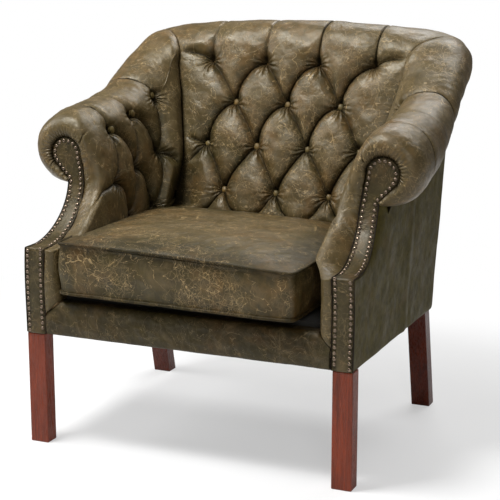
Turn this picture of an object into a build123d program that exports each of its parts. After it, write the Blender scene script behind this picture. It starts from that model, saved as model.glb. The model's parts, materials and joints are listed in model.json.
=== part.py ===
from build123d import *
import os
from math import acos, asin, atan2, ceil, cos, hypot, pi, radians, sin, sqrt

# Chesterfield armchair, in millimetres. X runs across the chair (left is -X, as seen from the
# front), Y from the front faces backwards, Z up from the floor. Right hand pieces are made at
# +X and mirrored. At the end the whole chair is moved along Y, so that the middle of its
# bounding box stands over the origin.
# Names: a height is measured up from the underside of the rails, an inset inwards from the
# frame's outer face, a setback to the rear from the piece that it names.

# Stance
frame_width = 722.0          # over the covered side rails and the front legs
leg_height = 240.0           # floor to the underside of the rails
rail_height = 66.0
board = 26.0                 # thickness of the frame boards
cover = 3.0                  # leather with its wadding, on flat panels

# Legs
leg_width = 42.0
leg_depth = 34.0
leg_block_depth = 42.0       # the front leg behind the cover
rear_leg_inset = 8.0         # rear leg's outer face
rear_leg_rake = 56.0         # how far the rear foot stands behind its top
foot_round = 3.0

# Back line
back_foot_y = 532.0          # outside back at the underside of the rails
back_lean_share = 0.2235     # backward run for each mm of height, outside
post_height = 542.0

# Arm front: upright, flat shelf, swept neck and cane-shaped head
upright_height = 181.0
shelf_depth = 23.0
neck_radius = 146.0
outline_drop = 6.0           # the outline starts to curve this far below the shelf
facing_width = 45.0
facing_thickness = 3.0
waist_inner_inset = 48.5
waist_outer_inset = 10.0
waist_inner_share = 0.7055   # waist heights above the shelf, as shares of the neck's radius
waist_outer_share = 0.8151
neck_inner_inset = 48.0      # halfway down the neck
neck_outer_inset = 7.0
neck_middle_share = 0.3082
head_inset = 4.5             # centre of the head
head_above_neck = 28.0
head_radius = 34.5
stump_depth = 40.0
stump_inset = 3.0            # within the facing's outline
neck_fill = 14.0             # wadding between the swept neck and the side panel

# Nails
nail_pitch = 11.3
nail_radius = 3.6
nail_head_height = 2.2
nail_shank_radius = 0.7
nail_shank = 9.0
nail_margin = 7.0            # row to the facing's edge
nail_start = 6.0             # first nail above the bottom edge
nail_step = 2.5              # fineness with which the rows are followed
shelf_nail_angle = 28.6      # how far the nails on the shelf lean forwards, in degrees

# Arm roll, measured at its axis
roll_front_setback = 37.0    # behind the head's face
roll_above_head = 8.0
roll_front_radius = 78.0
roll_corner_inset = 9.0
roll_corner_setback = 109.0  # behind the foot of the outside back
roll_corner_height = 547.0
roll_corner_radius = 50.0
roll_bow = 10.0              # outward bow of the axis between front and corner
rim_radius = 60.0            # the roll's front rim, drawn in round the head
rim_overhang = 7.0           # rim in front of the head's face
corner_slope_share = 0.33    # slope of the seam between arm roll and back roll

# Back roll, measured at its axis
back_roll_setback = 118.0    # behind the foot of the outside back
back_roll_height = 568.0
back_roll_radius = 55.0
back_roll_bow = 17.0

# Tufting
arm_button_inset = 73.0      # where the arm buttons sit
arm_button_setback = 117.0   # behind the head's face
arm_button_height = 203.0
arm_pitch = 93.0
arm_row = 100.0
arm_row_climb = 10.0         # climb of a row over half a pitch
arm_face_lean_share = 0.06
back_button_depth = 45.0     # in front of the foot of the outside back
back_button_height = 240.0
back_pitch = 129.0
back_row = 94.7
back_recline_share = 0.363
fold_depth = 9.0             # fold lines in front of the button plane
puff = 18.0                  # crest of a puff over the fold lines
well_radius = 25.0
button_radius = 8.0
button_edge = 2.5
button_dome = 5.5
pleat_depth = 5.0
pleat_width = 18.0
swell_share = 1.12           # fullness of the back between its face and its roll

# Seat
seat_inner_inset = 75.0      # arm pads beside the cushion
seat_back_depth = 86.0       # back pad behind the cushion, in front of the outside back's foot
tuft_start_height = 192.0
border_over_rail = 6.0
border_pad = 12.0
border_lip = 9.0
mitre_inset = 26.0
deck_cloth = 2.0
deck_felt = 12.0
webbing = 1.5
webbing_width = 50.0
webbing_pitch = 100.0
back_straps_each_side = 2

# Cushion
cushion_side_gap = 14.0
cushion_rear_gap = 6.0
cushion_overhang = 4.0       # in front of the arm fronts
cushion_lift = 11.0          # lower welt over the deck
cushion_thickness = 93.0     # welt to welt
cushion_crown = 30.0
cushion_corner = 24.0
leather = 1.6
welt_radius = 3.4
rest_gap = 0.3
zip_width = 12.0
zip_thickness = 1.2
zip_margin = 60.0

# Springs
spring_count = 4
spring_wire = 1.9
spring_half_width = 24.0
spring_bend = 11.0
clip_thickness = 2.0
clip_width = 20.0
clip_hook = 2.0              # clip past the wire

# Fastenings and inner frame
dowel_radius = 5.0
dowel_length = 60.0
dowel_in_leg = 16.0
dowel_spread = 26.0
block_leg = 62.0
block_thickness = 22.0
screw_radius = 2.2
screw_length = 42.0
screw_head_radius = 4.2
screw_head = 2.4
screw_seat_depth = 8.0       # wood between the screw's head and the rail
screw_setback_share = 0.7    # of the corner block's side
tack_rail_low = 30.0         # tack rail above the seat rail
tack_rail_height = 28.0
arm_rail_height = 36.0
top_rail_height = 50.0
dust_cloth = 1.2

overrun = 60.0               # how far cutting bodies run past what they cut

# Planes and heights that follow from these
half = frame_width / 2
side_cover_x = half - cover
rear_leg_x = half - rear_leg_inset
stump_inner_x = half - facing_width
seat_inner_x = half - seat_inner_inset
seat_back_y = back_foot_y - seat_back_depth
cushion_front_y = -cushion_overhang

rail_top = leg_height + rail_height
border_top_z = rail_top + border_over_rail
deck_top = rail_top + deck_cloth + deck_felt
tuft_start_z = leg_height + tuft_start_height
cushion_low_z = deck_top + cushion_lift
cushion_high_z = cushion_low_z + cushion_thickness
post_top_z = leg_height + post_height

kink_z = leg_height + upright_height
head_y = shelf_depth + neck_radius
waist_inner_x = half - waist_inner_inset
waist_outer_x = half - waist_outer_inset
waist_inner_z = kink_z + neck_radius * waist_inner_share
waist_outer_z = kink_z + neck_radius * waist_outer_share
neck_middle_z = kink_z + neck_radius * neck_middle_share
neck_middle_inner_x = half - neck_inner_inset
neck_middle_outer_x = half - neck_outer_inset
head_x = half - head_inset
head_z = kink_z + neck_radius + head_above_neck

rim_y = head_y - rim_overhang
roll_front_x = half
roll_front_y = head_y + roll_front_setback
roll_front_z = head_z + roll_above_head
roll_corner_x = half - roll_corner_inset
roll_corner_y = back_foot_y + roll_corner_setback
roll_corner_z = leg_height + roll_corner_height
back_roll_y = back_foot_y + back_roll_setback
back_roll_z = leg_height + back_roll_height

arm_button_x = half - arm_button_inset
arm_button_y = head_y + arm_button_setback
arm_button_z = leg_height + arm_button_height
back_button_y = back_foot_y - back_button_depth
back_button_z = leg_height + back_button_height


# Small helpers

def box(x0, x1, y0, y1, z0, z1):
    """Upright block between the given planes."""
    middle = Pos((x0 + x1) / 2, (y0 + y1) / 2, (z0 + z1) / 2)
    return middle * Box(x1 - x0, y1 - y0, z1 - z0)


def side_prism(points, x0, x1):
    """Polygon of (y, z) points, run across the chair from x0 to x1."""
    wire = Wire.make_polygon([Vector(x0, y, z) for y, z in points])
    return extrude(Face(wire), amount=x1 - x0, dir=(1, 0, 0))


def plan_prism(points, z0, z1):
    """Polygon of (x, y) points, raised from z0 to z1."""
    wire = Wire.make_polygon([Vector(x, y, z0) for x, y in points])
    return extrude(Face(wire), amount=z1 - z0, dir=(0, 0, 1))


def line(a, b):
    return Edge.make_line(Vector(*a), Vector(*b))


def arc(a, b, c):
    return Edge.make_three_point_arc(Vector(*a), Vector(*b), Vector(*c))


def rod(start, end, radius):
    """Round bar from one point to another."""
    run = Vector(*end) - Vector(*start)
    plane = Plane(origin=Vector(*start), z_dir=run)
    return plane * Cylinder(radius, run.length, align=(Align.CENTER, Align.CENTER, Align.MIN))


def dome(radius, low, high):
    """Arc from a rim at (radius, low) up to (0, high), part of a ball about the vertical axis."""
    rise = high - low
    ball = (radius ** 2 + rise ** 2) / (2 * rise)
    half_angle = asin(radius / ball) / 2
    middle = (ball * sin(half_angle), 0, high - ball + ball * cos(half_angle))
    return arc((radius, 0, low), middle, (0, 0, high))


def mirrored(shape):
    return mirror(shape, about=Plane.YZ)


def one_solid(shape):
    """The largest solid of a result, without the crumbs that a cut may leave."""
    return max(shape.solids(), key=lambda solid: solid.volume)


def mix(a, b, share):
    return a + (b - a) * share


# Lines that several pieces share

def outside_back_y(z):
    return back_foot_y + (z - leg_height) * back_lean_share


post_foot_front_y = back_foot_y - leg_depth
post_top_front_y = outside_back_y(post_top_z) - cover - leg_depth
post_slope = (post_top_front_y - post_foot_front_y) / (post_top_z - rail_top)


def post_front_y(z):
    """Front face of the back posts above the seat rails."""
    return post_foot_front_y + (z - rail_top) * post_slope


def sweep_points(x, offset):
    """Knee, bend and rise of the arm front's swept neck, offset behind the leather face."""
    z_centre = kink_z + neck_radius
    reach = neck_radius + offset
    middle = radians(45)
    knee = (x, shelf_depth, z_centre - reach)
    bend = (x, shelf_depth + reach * sin(middle), z_centre - reach * cos(middle))
    rise = (x, shelf_depth + reach, z_centre)
    return knee, bend, rise


def sweep_edges(x, offset, z_low, z_high):
    """Side profile of the arm front at one x: upright, shelf, swept neck and head."""
    knee, bend, rise = sweep_points(x, offset)
    shelf = (x, offset, knee[2])
    return [
        line((x, offset, z_low), shelf),
        line(shelf, knee),
        arc(knee, bend, rise),
        line(rise, (x, rise[1], z_high)),
    ]


def sweep_band(offset, thickness, z_low, z_high, x0, x1):
    """Band that follows the arm front, from one offset to the next."""
    front = sweep_edges(x0, offset, z_low, z_high)
    back = sweep_edges(x0, offset + thickness, z_low, z_high)
    ends = [
        line(front[0] @ 0, back[0] @ 0),
        line(front[-1] @ 1, back[-1] @ 1),
    ]
    return extrude(Face(Wire(front + back + ends)), amount=x1 - x0, dir=(1, 0, 0))


def neck_air(offset, x0, x1):
    """Space in front of the swept neck, from the shelf up to where the head starts."""
    knee, bend, rise = sweep_points(x0, offset)
    shelf = (x0, offset, knee[2])
    low = (x0, -overrun, knee[2])
    high = (x0, -overrun, rise[2])
    edges = [
        line(low, shelf),
        line(shelf, knee),
        arc(knee, bend, rise),
        line(rise, high),
        line(high, low),
    ]
    return extrude(Face(Wire(edges)), amount=x1 - x0, dir=(1, 0, 0))


def facing_outline(inset, y):
    """Front view outline of the right facing, drawn in by inset, at one y."""
    r = head_radius - inset
    inner_low = (half - facing_width + inset, y, leg_height)
    outer_low = (half - inset, y, leg_height)
    outer_kink = (half - inset, y, kink_z - outline_drop)
    outer_mid = (neck_middle_outer_x - inset, y, neck_middle_z)
    outer_waist = (waist_outer_x - inset, y, waist_outer_z)
    inner_waist = (waist_inner_x + inset, y, waist_inner_z)
    inner_mid = (neck_middle_inner_x + inset, y, neck_middle_z)
    inner_kink = (half - facing_width + inset, y, kink_z - outline_drop)
    dx = head_x - outer_waist[0]
    dz = head_z - outer_waist[2]
    run = hypot(dx, dz)
    turn = atan2(dz, dx) - asin(r / run)
    tangent = sqrt(run ** 2 - r ** 2)
    outer_head = (outer_waist[0] + tangent * cos(turn), y, outer_waist[2] + tangent * sin(turn))
    right_angle = turn - pi / 2
    inner_head = (head_x - r, y, head_z)
    lower_top = (right_angle + pi / 2) / 2
    upper_top = (pi / 2 + pi) / 2
    head_top = (head_x, y, head_z + r)
    return [
        line(inner_low, outer_low),
        line(outer_low, outer_kink),
        arc(outer_kink, outer_mid, outer_waist),
        line(outer_waist, outer_head),
        arc(outer_head, (head_x + r * cos(lower_top), y, head_z + r * sin(lower_top)), head_top),
        arc(head_top, (head_x + r * cos(upper_top), y, head_z + r * sin(upper_top)), inner_head),
        line(inner_head, inner_waist),
        arc(inner_waist, inner_mid, inner_kink),
        line(inner_kink, inner_low),
    ]


def facing_prism(inset, y0, y1):
    return extrude(Face(Wire(facing_outline(inset, y0))), amount=y1 - y0, dir=(0, 1, 0))


# Legs and seat frame

def front_leg():
    shown = box(half - leg_width, half, 0, leg_depth, 0, leg_height)
    shown = fillet(shown.edges().group_by(Axis.Z)[0], foot_round)
    block = box(half - leg_width, side_cover_x, cover, cover + leg_block_depth, leg_height, rail_top)
    return shown + block


def rear_leg():
    rear_y = back_foot_y - cover
    profile = [
        (post_foot_front_y + rear_leg_rake, 0),
        (post_foot_front_y + rear_leg_rake + leg_depth, 0),
        (back_foot_y, leg_height),
        (rear_y, leg_height),
        (outside_back_y(post_top_z) - cover, post_top_z),
        (post_top_front_y, post_top_z),
        (post_foot_front_y, rail_top),
        (post_foot_front_y, leg_height),
    ]
    leg = side_prism(profile, rear_leg_x - leg_width, rear_leg_x)
    return fillet(leg.edges().group_by(Axis.Z)[0], foot_round)


front_rail_y = border_pad
rear_rail_y = back_foot_y - cover - board


def front_rail():
    x = half - leg_width
    return box(-x, x, front_rail_y, front_rail_y + board, leg_height, rail_top)


def rear_rail():
    x = rear_leg_x - leg_width
    return box(-x, x, rear_rail_y, rear_rail_y + board, leg_height, rail_top)


def side_rail():
    y0 = cover + leg_block_depth
    return box(side_cover_x - board, side_cover_x, y0, post_foot_front_y, leg_height, rail_top)


def front_corner_block():
    x = side_cover_x - board
    y = front_rail_y + board
    notch_x = half - leg_width
    notch_y = cover + leg_block_depth
    points = [(x, notch_y), (x, notch_y + block_leg), (notch_x - block_leg, y), (notch_x, y)]
    points.append((notch_x, notch_y))
    return plan_prism(points, leg_height, leg_height + block_thickness)


def rear_corner_block():
    x = side_cover_x - board
    notch_x = rear_leg_x - leg_width
    points = [(x, post_foot_front_y), (x, post_foot_front_y - block_leg)]
    points += [(notch_x - block_leg, rear_rail_y), (notch_x, rear_rail_y), (notch_x, post_foot_front_y)]
    return plan_prism(points, leg_height, leg_height + block_thickness)


def screw_seats():
    """Where a screw from each corner block enters each rail, and which way it runs."""
    z = leg_height + block_thickness / 2
    rail_x = side_cover_x - board
    setback = block_leg * screw_setback_share
    return [
        ((rail_x, cover + leg_block_depth + setback, z), (1, 0, 0)),
        ((half - leg_width - setback, front_rail_y + board, z), (0, -1, 0)),
        ((rail_x, post_foot_front_y - setback, z), (1, 0, 0)),
        ((rear_leg_x - leg_width - setback, rear_rail_y, z), (0, 1, 0)),
    ]


def block_screws():
    """Two screws through each corner block, one into each rail; given with their heads."""
    screws = []
    for place, aim in screw_seats():
        run = Vector(*aim)
        seat = Vector(*place)
        tip = seat + run * min(screw_length / 2, board - cover)
        head = seat - run * screw_seat_depth
        shank = rod(tuple(head), tuple(tip), screw_radius)
        cap = rod(tuple(head - run * screw_head), tuple(head), screw_head_radius)
        screws.append(shank + cap)
    return screws


def screw_bores():
    """Bores in the corner blocks, open to the room inside the frame, that the heads sink in."""
    bores = []
    for place, aim in screw_seats():
        run = Vector(*aim)
        head = Vector(*place) - run * screw_seat_depth
        bores.append(rod(tuple(head - run * block_leg), tuple(head), screw_head_radius))
    return bores


def frame_dowels():
    """Dowels across the butt joints of the right half, as (start, end) bars."""
    z_middle = leg_height + rail_height / 2
    heights = (z_middle - dowel_spread / 2, z_middle + dowel_spread / 2)
    reach = dowel_length / 2
    bars = []
    for z in heights:
        x = half - leg_width
        y = front_rail_y + board / 2
        bars.append(((x - reach, y, z), (x + dowel_in_leg, y, z)))
        x = rear_leg_x - leg_width
        y = rear_rail_y + board / 2
        bars.append(((x - reach, y, z), (x + dowel_in_leg, y, z)))
        x = side_cover_x - board / 2
        y = cover + leg_block_depth
        bars.append(((x, y - dowel_in_leg, z), (x, y + reach, z)))
        y = post_foot_front_y
        bars.append(((x, y - reach, z), (x, y + dowel_in_leg, z)))
    return [rod(start, end, dowel_radius) for start, end in bars]


# Arm frame

def arm_facing():
    band = sweep_band(0, facing_thickness, leg_height, head_z + 2 * head_radius, 0, half + overrun)
    return one_solid(facing_prism(0, -overrun, head_y + overrun) & band)


def arm_stump():
    z_high = head_z + 2 * head_radius
    band = sweep_band(facing_thickness, stump_depth, rail_top, z_high, 0, half + overrun)
    return one_solid(facing_prism(stump_inset, -overrun, head_y + 2 * overrun) & band)


# Shares of the way from the roll's front to the corner: along Y, up Z, of the radius, of the bow
roll_shares = [
    (0.0, 0.0, 0.0, 0.0),
    (0.09, 0.055, 0.11, 0.5),
    (0.30, 0.16, 0.42, 1.0),
    (0.545, 0.375, 0.84, 1.0),
    (0.69, 0.615, 0.95, 0.7),
    (0.85, 0.845, 1.0, 0.4),
    (1.0, 1.0, 1.0, 0.0),
]

# Shares of the way from the rim to the full roll: along Y, of the radius
rim_shares = [(0.0, 0.0), (0.18, 0.5), (0.5, 0.85)]

# Shares of the way from the middle of the back to the corner: along X, of the bow, down Z, of the radius
back_roll_shares = [
    (0.0, 0.0, 0.0, 0.0),
    (0.435, 0.6, 0.19, 0.4),
    (0.82, 1.0, 0.476, 0.8),
    (1.0, 0.0, 1.0, 1.0),
]

# Angles past the corner at which a roll's rounded end has a section
cap_angles = (30, 58)


def roll_stations():
    """Axis and radius of the arm roll from its rim round to its rounded end."""
    stations = []
    for along, drawn in rim_shares:
        y = mix(rim_y, roll_front_y, along)
        stations.append((y, roll_front_x, roll_front_z, mix(rim_radius, roll_front_radius, drawn)))
    for along, rise, shrink, bow in roll_shares:
        y = mix(roll_front_y, roll_corner_y, along)
        x = mix(roll_front_x, roll_corner_x, along) + roll_bow * bow
        z = mix(roll_front_z, roll_corner_z, rise)
        stations.append((y, x, z, mix(roll_front_radius, roll_corner_radius, shrink)))
    for angle in cap_angles:
        y = roll_corner_y + roll_corner_radius * sin(radians(angle))
        stations.append((y, roll_corner_x, roll_corner_z, roll_corner_radius * cos(radians(angle))))
    return stations


def arm_crest_x(z):
    """Inner face of the arm pad, over the crests of the puffs."""
    return arm_button_x - fold_depth - puff + (z - arm_button_z) * arm_face_lean_share


def arm_section(y, x, z, r, low_z):
    """Front view section of an arm pad with its roll."""
    diagonal = cos(radians(45))
    top = (x, y, z + r)
    outer = (x + r, y, z)
    under = (x, y, z - r)
    back_x = side_cover_x - board - webbing
    face_x = arm_crest_x(z)
    low_x = arm_crest_x(low_z)
    inner = (face_x, y, z)
    swell = (x - (x - face_x) * diagonal, y, z + r * diagonal)
    edges = [
        arc(top, (x + r * diagonal, y, z + r * diagonal), outer),
        arc(outer, (x + r * diagonal, y, z - r * diagonal), under),
        line(under, (back_x, y, z - r)),
        line((back_x, y, z - r), (back_x, y, low_z)),
        line((back_x, y, low_z), (low_x, y, low_z)),
        line((low_x, y, low_z), inner),
        arc(inner, swell, top),
    ]
    return Face(Wire(edges))


def roll_axis_z(y):
    """Height of the arm roll's axis at a given y, straight between stations."""
    stations = roll_stations()
    for (y0, _, z0, _), (y1, _, z1, _) in zip(stations, stations[1:]):
        if y0 <= y <= y1:
            return mix(z0, z1, (y - y0) / (y1 - y0))
    return stations[0][2] if y < stations[0][0] else stations[-1][2]


arm_rail_x0 = side_cover_x - board
arm_rail_y0 = head_y + facing_thickness + stump_depth


def arm_top_rail():
    """Board inside the roll, from the stump's head to the back post."""
    ys = [arm_rail_y0]
    ys += [mix(roll_front_y, roll_corner_y, row[0]) for row in roll_shares[1:-2]]
    rise = arm_rail_height / 2
    end_z = roll_axis_z(post_front_y(post_top_z - top_rail_height))
    high = [(y, roll_axis_z(y) + rise) for y in ys]
    low = [(y, roll_axis_z(y) - rise) for y in ys]
    high.append((post_front_y(end_z + rise), end_z + rise))
    low.append((post_front_y(end_z - rise), end_z - rise))
    return side_prism(high + low[::-1], arm_rail_x0, arm_rail_x0 + board)


tack_rail_z = rail_top + tack_rail_low


def arm_tack_rail():
    y0 = facing_thickness + stump_depth
    z0 = tack_rail_z
    z1 = tack_rail_z + tack_rail_height
    points = [(y0, z0), (post_front_y(z0), z0), (post_front_y(z1), z1), (y0, z1)]
    return side_prism(points, arm_rail_x0, arm_rail_x0 + board)


def arm_webbing():
    """Upright straps on the inner faces of the tack rail and the top rail."""
    straps = []
    for along, _, _, _ in roll_shares[1:4]:
        y = mix(roll_front_y, roll_corner_y, along)
        low = tack_rail_z + tack_rail_height / 2
        high = roll_axis_z(y)
        y0 = y - webbing_width / 2
        straps.append(box(arm_rail_x0 - webbing, arm_rail_x0, y0, y0 + webbing_width, low, high))
    return straps


# Tufting

arm_fold_plane = Plane(
    origin=(arm_button_x - fold_depth, arm_button_y, arm_button_z),
    x_dir=(0, -1, 0),
    z_dir=(-1, 0, arm_face_lean_share),
)
back_fold_plane = Plane(
    origin=(0, back_button_y - fold_depth, back_button_z),
    x_dir=(1, 0, 0),
    z_dir=(0, -1, back_recline_share),
)
back_stretch = hypot(1, back_recline_share)


def fold_comb(plane, start, along, spacing, count):
    """Air in front of one family of puffs. Its cusps lie on the fold lines that run along."""
    length = hypot(*along)
    a = (along[0] / length, along[1] / length)
    p = (-a[1], a[0])
    reach = count * spacing
    foot = Vector(start[0] - a[0] * reach, start[1] - a[1] * reach, 0)
    profile = Plane(
        origin=plane.from_local_coords(foot),
        x_dir=plane.x_dir * p[0] + plane.y_dir * p[1],
        z_dir=plane.x_dir * a[0] + plane.y_dir * a[1],
    )
    edges = []
    for k in range(-count, count):
        u0 = k * spacing
        u1 = u0 + spacing
        edges.append(arc((u0, 0, 0), ((u0 + u1) / 2, puff, 0), (u1, 0, 0)))
    left = -reach
    right = count * spacing
    high = puff + overrun
    edges.append(line((left, 0, 0), (left, high, 0)))
    edges.append(line((left, high, 0), (right, high, 0)))
    edges.append(line((right, high, 0), (right, 0, 0)))
    face = profile * Face(Wire(edges))
    return extrude(face, amount=2 * reach, dir=profile.z_dir)


def crossing(a, b):
    """Distance between neighbouring fold lines along a, when the next one is b away."""
    return abs(a[0] * b[1] - a[1] * b[0]) / hypot(*a)


def tuft_well(plane, u, v):
    """Funnel down to a button."""
    sink = Cone(
        button_radius + rest_gap,
        well_radius,
        fold_depth + puff,
        align=(Align.CENTER, Align.CENTER, Align.MIN),
    )
    return plane * Pos(u, v, -fold_depth) * sink


def button(plane, u, v):
    """Covered button, domed, on the floor of its well."""
    edges = [
        line((0, 0, 0), (button_radius, 0, 0)),
        line((button_radius, 0, 0), (button_radius, 0, button_edge)),
        dome(button_radius, button_edge, button_dome),
        line((0, 0, button_dome), (0, 0, 0)),
    ]
    solid = revolve(Face(Wire(edges)), axis=Axis.Z)
    return plane * Pos(u, v, -fold_depth) * solid


arm_down_back = (-arm_pitch / 2, -arm_row + arm_row_climb)
arm_down_front = (arm_pitch / 2, -arm_row - arm_row_climb)

# Rows of arm buttons from the lowest up: row, and steps of half a pitch towards the back
arm_button_places = [(0, 0), (0, 2), (1, -1), (1, 1), (1, 3), (2, 0), (2, 2), (2, 4)]

# Rows of back buttons from the lowest up, as steps of half a pitch from the middle
back_button_rows = [(-2, 0, 2), (-3, -1, 1, 3), (-2, 0, 2), (-3, -1, 1, 3)]


def arm_button_uv():
    half_pitch = arm_pitch / 2
    return [(-half_pitch * step, arm_row * row + arm_row_climb * step) for row, step in arm_button_places]


def back_button_uv():
    places = []
    for row, steps in enumerate(back_button_rows):
        for step in steps:
            places.append((step * back_pitch / 2, row * back_row * back_stretch))
    return places


def pleat_ring(centre, aim, radius):
    """Shallow groove all round a roll."""
    ring = Plane(origin=centre, z_dir=aim)
    edges = [
        line((radius - pleat_depth, 0, 0), (radius + pleat_depth, 0, pleat_width / 2)),
        line((radius + pleat_depth, 0, pleat_width / 2), (radius + pleat_depth, 0, -pleat_width / 2)),
        line((radius + pleat_depth, 0, -pleat_width / 2), (radius - pleat_depth, 0, 0)),
    ]
    return ring * revolve(Face(Wire(edges)), axis=Axis.Z)


# Corner between arm and back: one leaning plane, which both pads are cut to

corner_normal = (1, -1, corner_slope_share)
corner_plane = Plane(origin=(roll_corner_x, roll_corner_y, roll_corner_z), z_dir=corner_normal)


def arm_pad_blank():
    """Arm pad with its roll, smooth and solid, from the floor of the seat to past the corner."""
    low_z = rail_top + deck_cloth
    sections = [arm_section(y, x, z, r, low_z) for y, x, z, r in roll_stations()]
    pad = loft(sections, ruled=True)
    back_x = side_cover_x - board - webbing
    y, _, z, r = roll_stations()[0]
    face = [
        (arm_crest_x(low_z), 0, low_z),
        (back_x, 0, low_z),
        (back_x, 0, z - r),
        (arm_crest_x(z - r), 0, z - r),
    ]
    front = extrude(Face(Wire.make_polygon([Vector(*p) for p in face])), amount=y, dir=(0, 1, 0))
    return pad + front


def inside_arm(neighbours):
    pad = one_solid(split(arm_pad_blank(), bisect_by=corner_plane, keep=Keep.TOP))
    pad -= neck_air(0, 0, half + overrun)
    down_back = arm_down_back
    down_front = arm_down_front
    count = ceil((roll_corner_y - rim_y) / arm_pitch) + 1
    folds = fold_comb(arm_fold_plane, (0, 0), down_back, crossing(down_back, down_front), count)
    folds += fold_comb(arm_fold_plane, (0, 0), down_front, crossing(down_front, down_back), count)
    pad -= folds
    pad -= box(0, seat_inner_x, -overrun, roll_corner_y, 0, tuft_start_z)
    pad -= [tuft_well(arm_fold_plane, u, v) for u, v in arm_button_uv()]
    pleats = []
    for y, x, z, r in roll_stations()[len(rim_shares) + 1:len(rim_shares) + 4]:
        pleats.append(pleat_ring((x, y, z), (0, 1, 0), r))
    pad -= pleats
    pad -= neighbours + [facing_prism(-rest_gap, -overrun, head_y + facing_thickness)]
    return one_solid(pad)


def back_crest_y(z):
    return back_button_y - fold_depth - puff + (z - back_button_z) * back_recline_share


def back_section(x, y, z, r, low_z):
    """Side view section of the back pad with its roll, at one x."""
    diagonal = cos(radians(45))
    turn_z = back_button_z + back_row * (len(back_button_rows) - 1) - back_row / 2
    chest = (x, back_crest_y(turn_z), turn_z)
    top = (x, y, z + r)
    swell = (x, y - r * diagonal * swell_share, z + r * diagonal)
    rear_low = (x, post_front_y(low_z) - webbing, low_z)
    rear_high = (x, post_front_y(z - r) - webbing, z - r)
    edges = [
        line(rear_low, (x, back_crest_y(low_z), low_z)),
        line((x, back_crest_y(low_z), low_z), chest),
        arc(chest, swell, top),
        arc(top, (x, y + r * diagonal, z + r * diagonal), (x, y + r, z)),
        arc((x, y + r, z), (x, y + r * diagonal, z - r * diagonal), (x, y, z - r)),
        line((x, y, z - r), rear_high),
        line(rear_high, rear_low),
    ]
    return Face(Wire(edges))


def back_stations():
    stations = []
    for along, bow, drop, shrink in back_roll_shares:
        x = roll_corner_x * along
        y = mix(back_roll_y, roll_corner_y, along) + back_roll_bow * bow
        z = mix(back_roll_z, roll_corner_z, drop)
        stations.append((x, y, z, mix(back_roll_radius, roll_corner_radius, shrink)))
    for angle in cap_angles:
        x = roll_corner_x + roll_corner_radius * sin(radians(angle))
        stations.append((x, roll_corner_y, roll_corner_z, roll_corner_radius * cos(radians(angle))))
    left = [(-x, y, z, r) for x, y, z, r in stations[1:]]
    return left[::-1] + stations


def inside_back(neighbours):
    low_z = rail_top + deck_cloth
    pad = loft([back_section(x, y, z, r, low_z) for x, y, z, r in back_stations()], ruled=True)
    step = back_row * back_stretch
    right = (back_pitch / 2, -step)
    left = (-back_pitch / 2, -step)
    count = ceil(roll_corner_x / back_pitch) + 2
    pad -= fold_comb(back_fold_plane, (0, 0), right, crossing(right, left), count)
    pad -= fold_comb(back_fold_plane, (0, 0), left, crossing(left, right), count)
    pad -= box(-half, half, 0, seat_back_y, 0, tuft_start_z)
    side_x = side_cover_x - board - webbing
    under_z = roll_corner_z - roll_corner_radius
    far_y = roll_corner_y + overrun
    pad -= box(side_x, half + overrun, 0, far_y, 0, under_z)
    pad -= box(-half - overrun, -side_x, 0, far_y, 0, under_z)
    pad = one_solid(split(pad, bisect_by=corner_plane, keep=Keep.BOTTOM))
    pad = one_solid(split(pad, bisect_by=left_corner_plane, keep=Keep.BOTTOM))
    pad -= [tuft_well(back_fold_plane, u, v) for u, v in back_button_uv()]
    pleats = []
    for step in back_button_rows[-1]:
        x = step * back_pitch / 2
        _, y, z, r = min(back_stations(), key=lambda station: abs(station[0] - x))
        pleats.append(pleat_ring((x, y, z), (1, 0, 0), r))
    pad -= pleats
    pad -= neighbours
    return one_solid(pad)


left_corner_plane = Plane(
    origin=(-roll_corner_x, roll_corner_y, roll_corner_z),
    z_dir=(-corner_normal[0], corner_normal[1], corner_normal[2]),
)


# Back frame

def leaning_board(x, z0, z1, thickness, offset):
    """Board across the chair that lies behind the posts' front plane by offset."""
    points = [
        (post_front_y(z0) + offset, z0),
        (post_front_y(z0) + offset + thickness, z0),
        (post_front_y(z1) + offset + thickness, z1),
        (post_front_y(z1) + offset, z1),
    ]
    return side_prism(points, -x, x)


def back_top_rail():
    return leaning_board(rear_leg_x - leg_width, post_top_z - top_rail_height, post_top_z, board, 0)


def back_tack_rail():
    z0 = tack_rail_z
    return leaning_board(rear_leg_x - leg_width, z0, z0 + tack_rail_height, board, 0)


def back_webbing():
    z0 = tack_rail_z + tack_rail_height / 2
    z1 = post_top_z - top_rail_height / 2
    straps = []
    for step in range(-back_straps_each_side, back_straps_each_side + 1):
        strap = leaning_board(webbing_width / 2, z0, z1, webbing, -webbing)
        straps.append(Pos(step * webbing_pitch, 0, 0) * strap)
    return straps


# Outside panels

def under_roll(stations):
    """Points just under a roll, from each station's place along it, axis height and radius."""
    return [(place, z - r - rest_gap) for place, z, r in stations]


def outside_arm():
    """Plain side panel from the facing back, up under the roll, filled out beside the neck."""
    stations = [(y, z, r) for y, _, z, r in roll_stations()[:-len(cap_angles)]]
    under = under_roll(stations)
    top_y, top_z = under[-1]
    y0 = facing_thickness
    points = [(y0, leg_height), (back_foot_y, leg_height), (outside_back_y(top_z), top_z)]
    points += under[::-1] + [(y0, under[0][1])]
    sheet = side_prism(points, side_cover_x, half)
    sheet -= neck_air(y0, 0, half + overrun)
    fill = side_prism(points, head_x - neck_fill, side_cover_x)
    fill &= sweep_band(y0, stump_depth, rail_top, roll_front_z, 0, half + overrun)
    fill -= facing_prism(stump_inset, -overrun, head_y + 2 * overrun)
    solids = sorted(fill.solids(), key=lambda solid: solid.volume)
    return one_solid(sheet + solids[-1])


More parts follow.
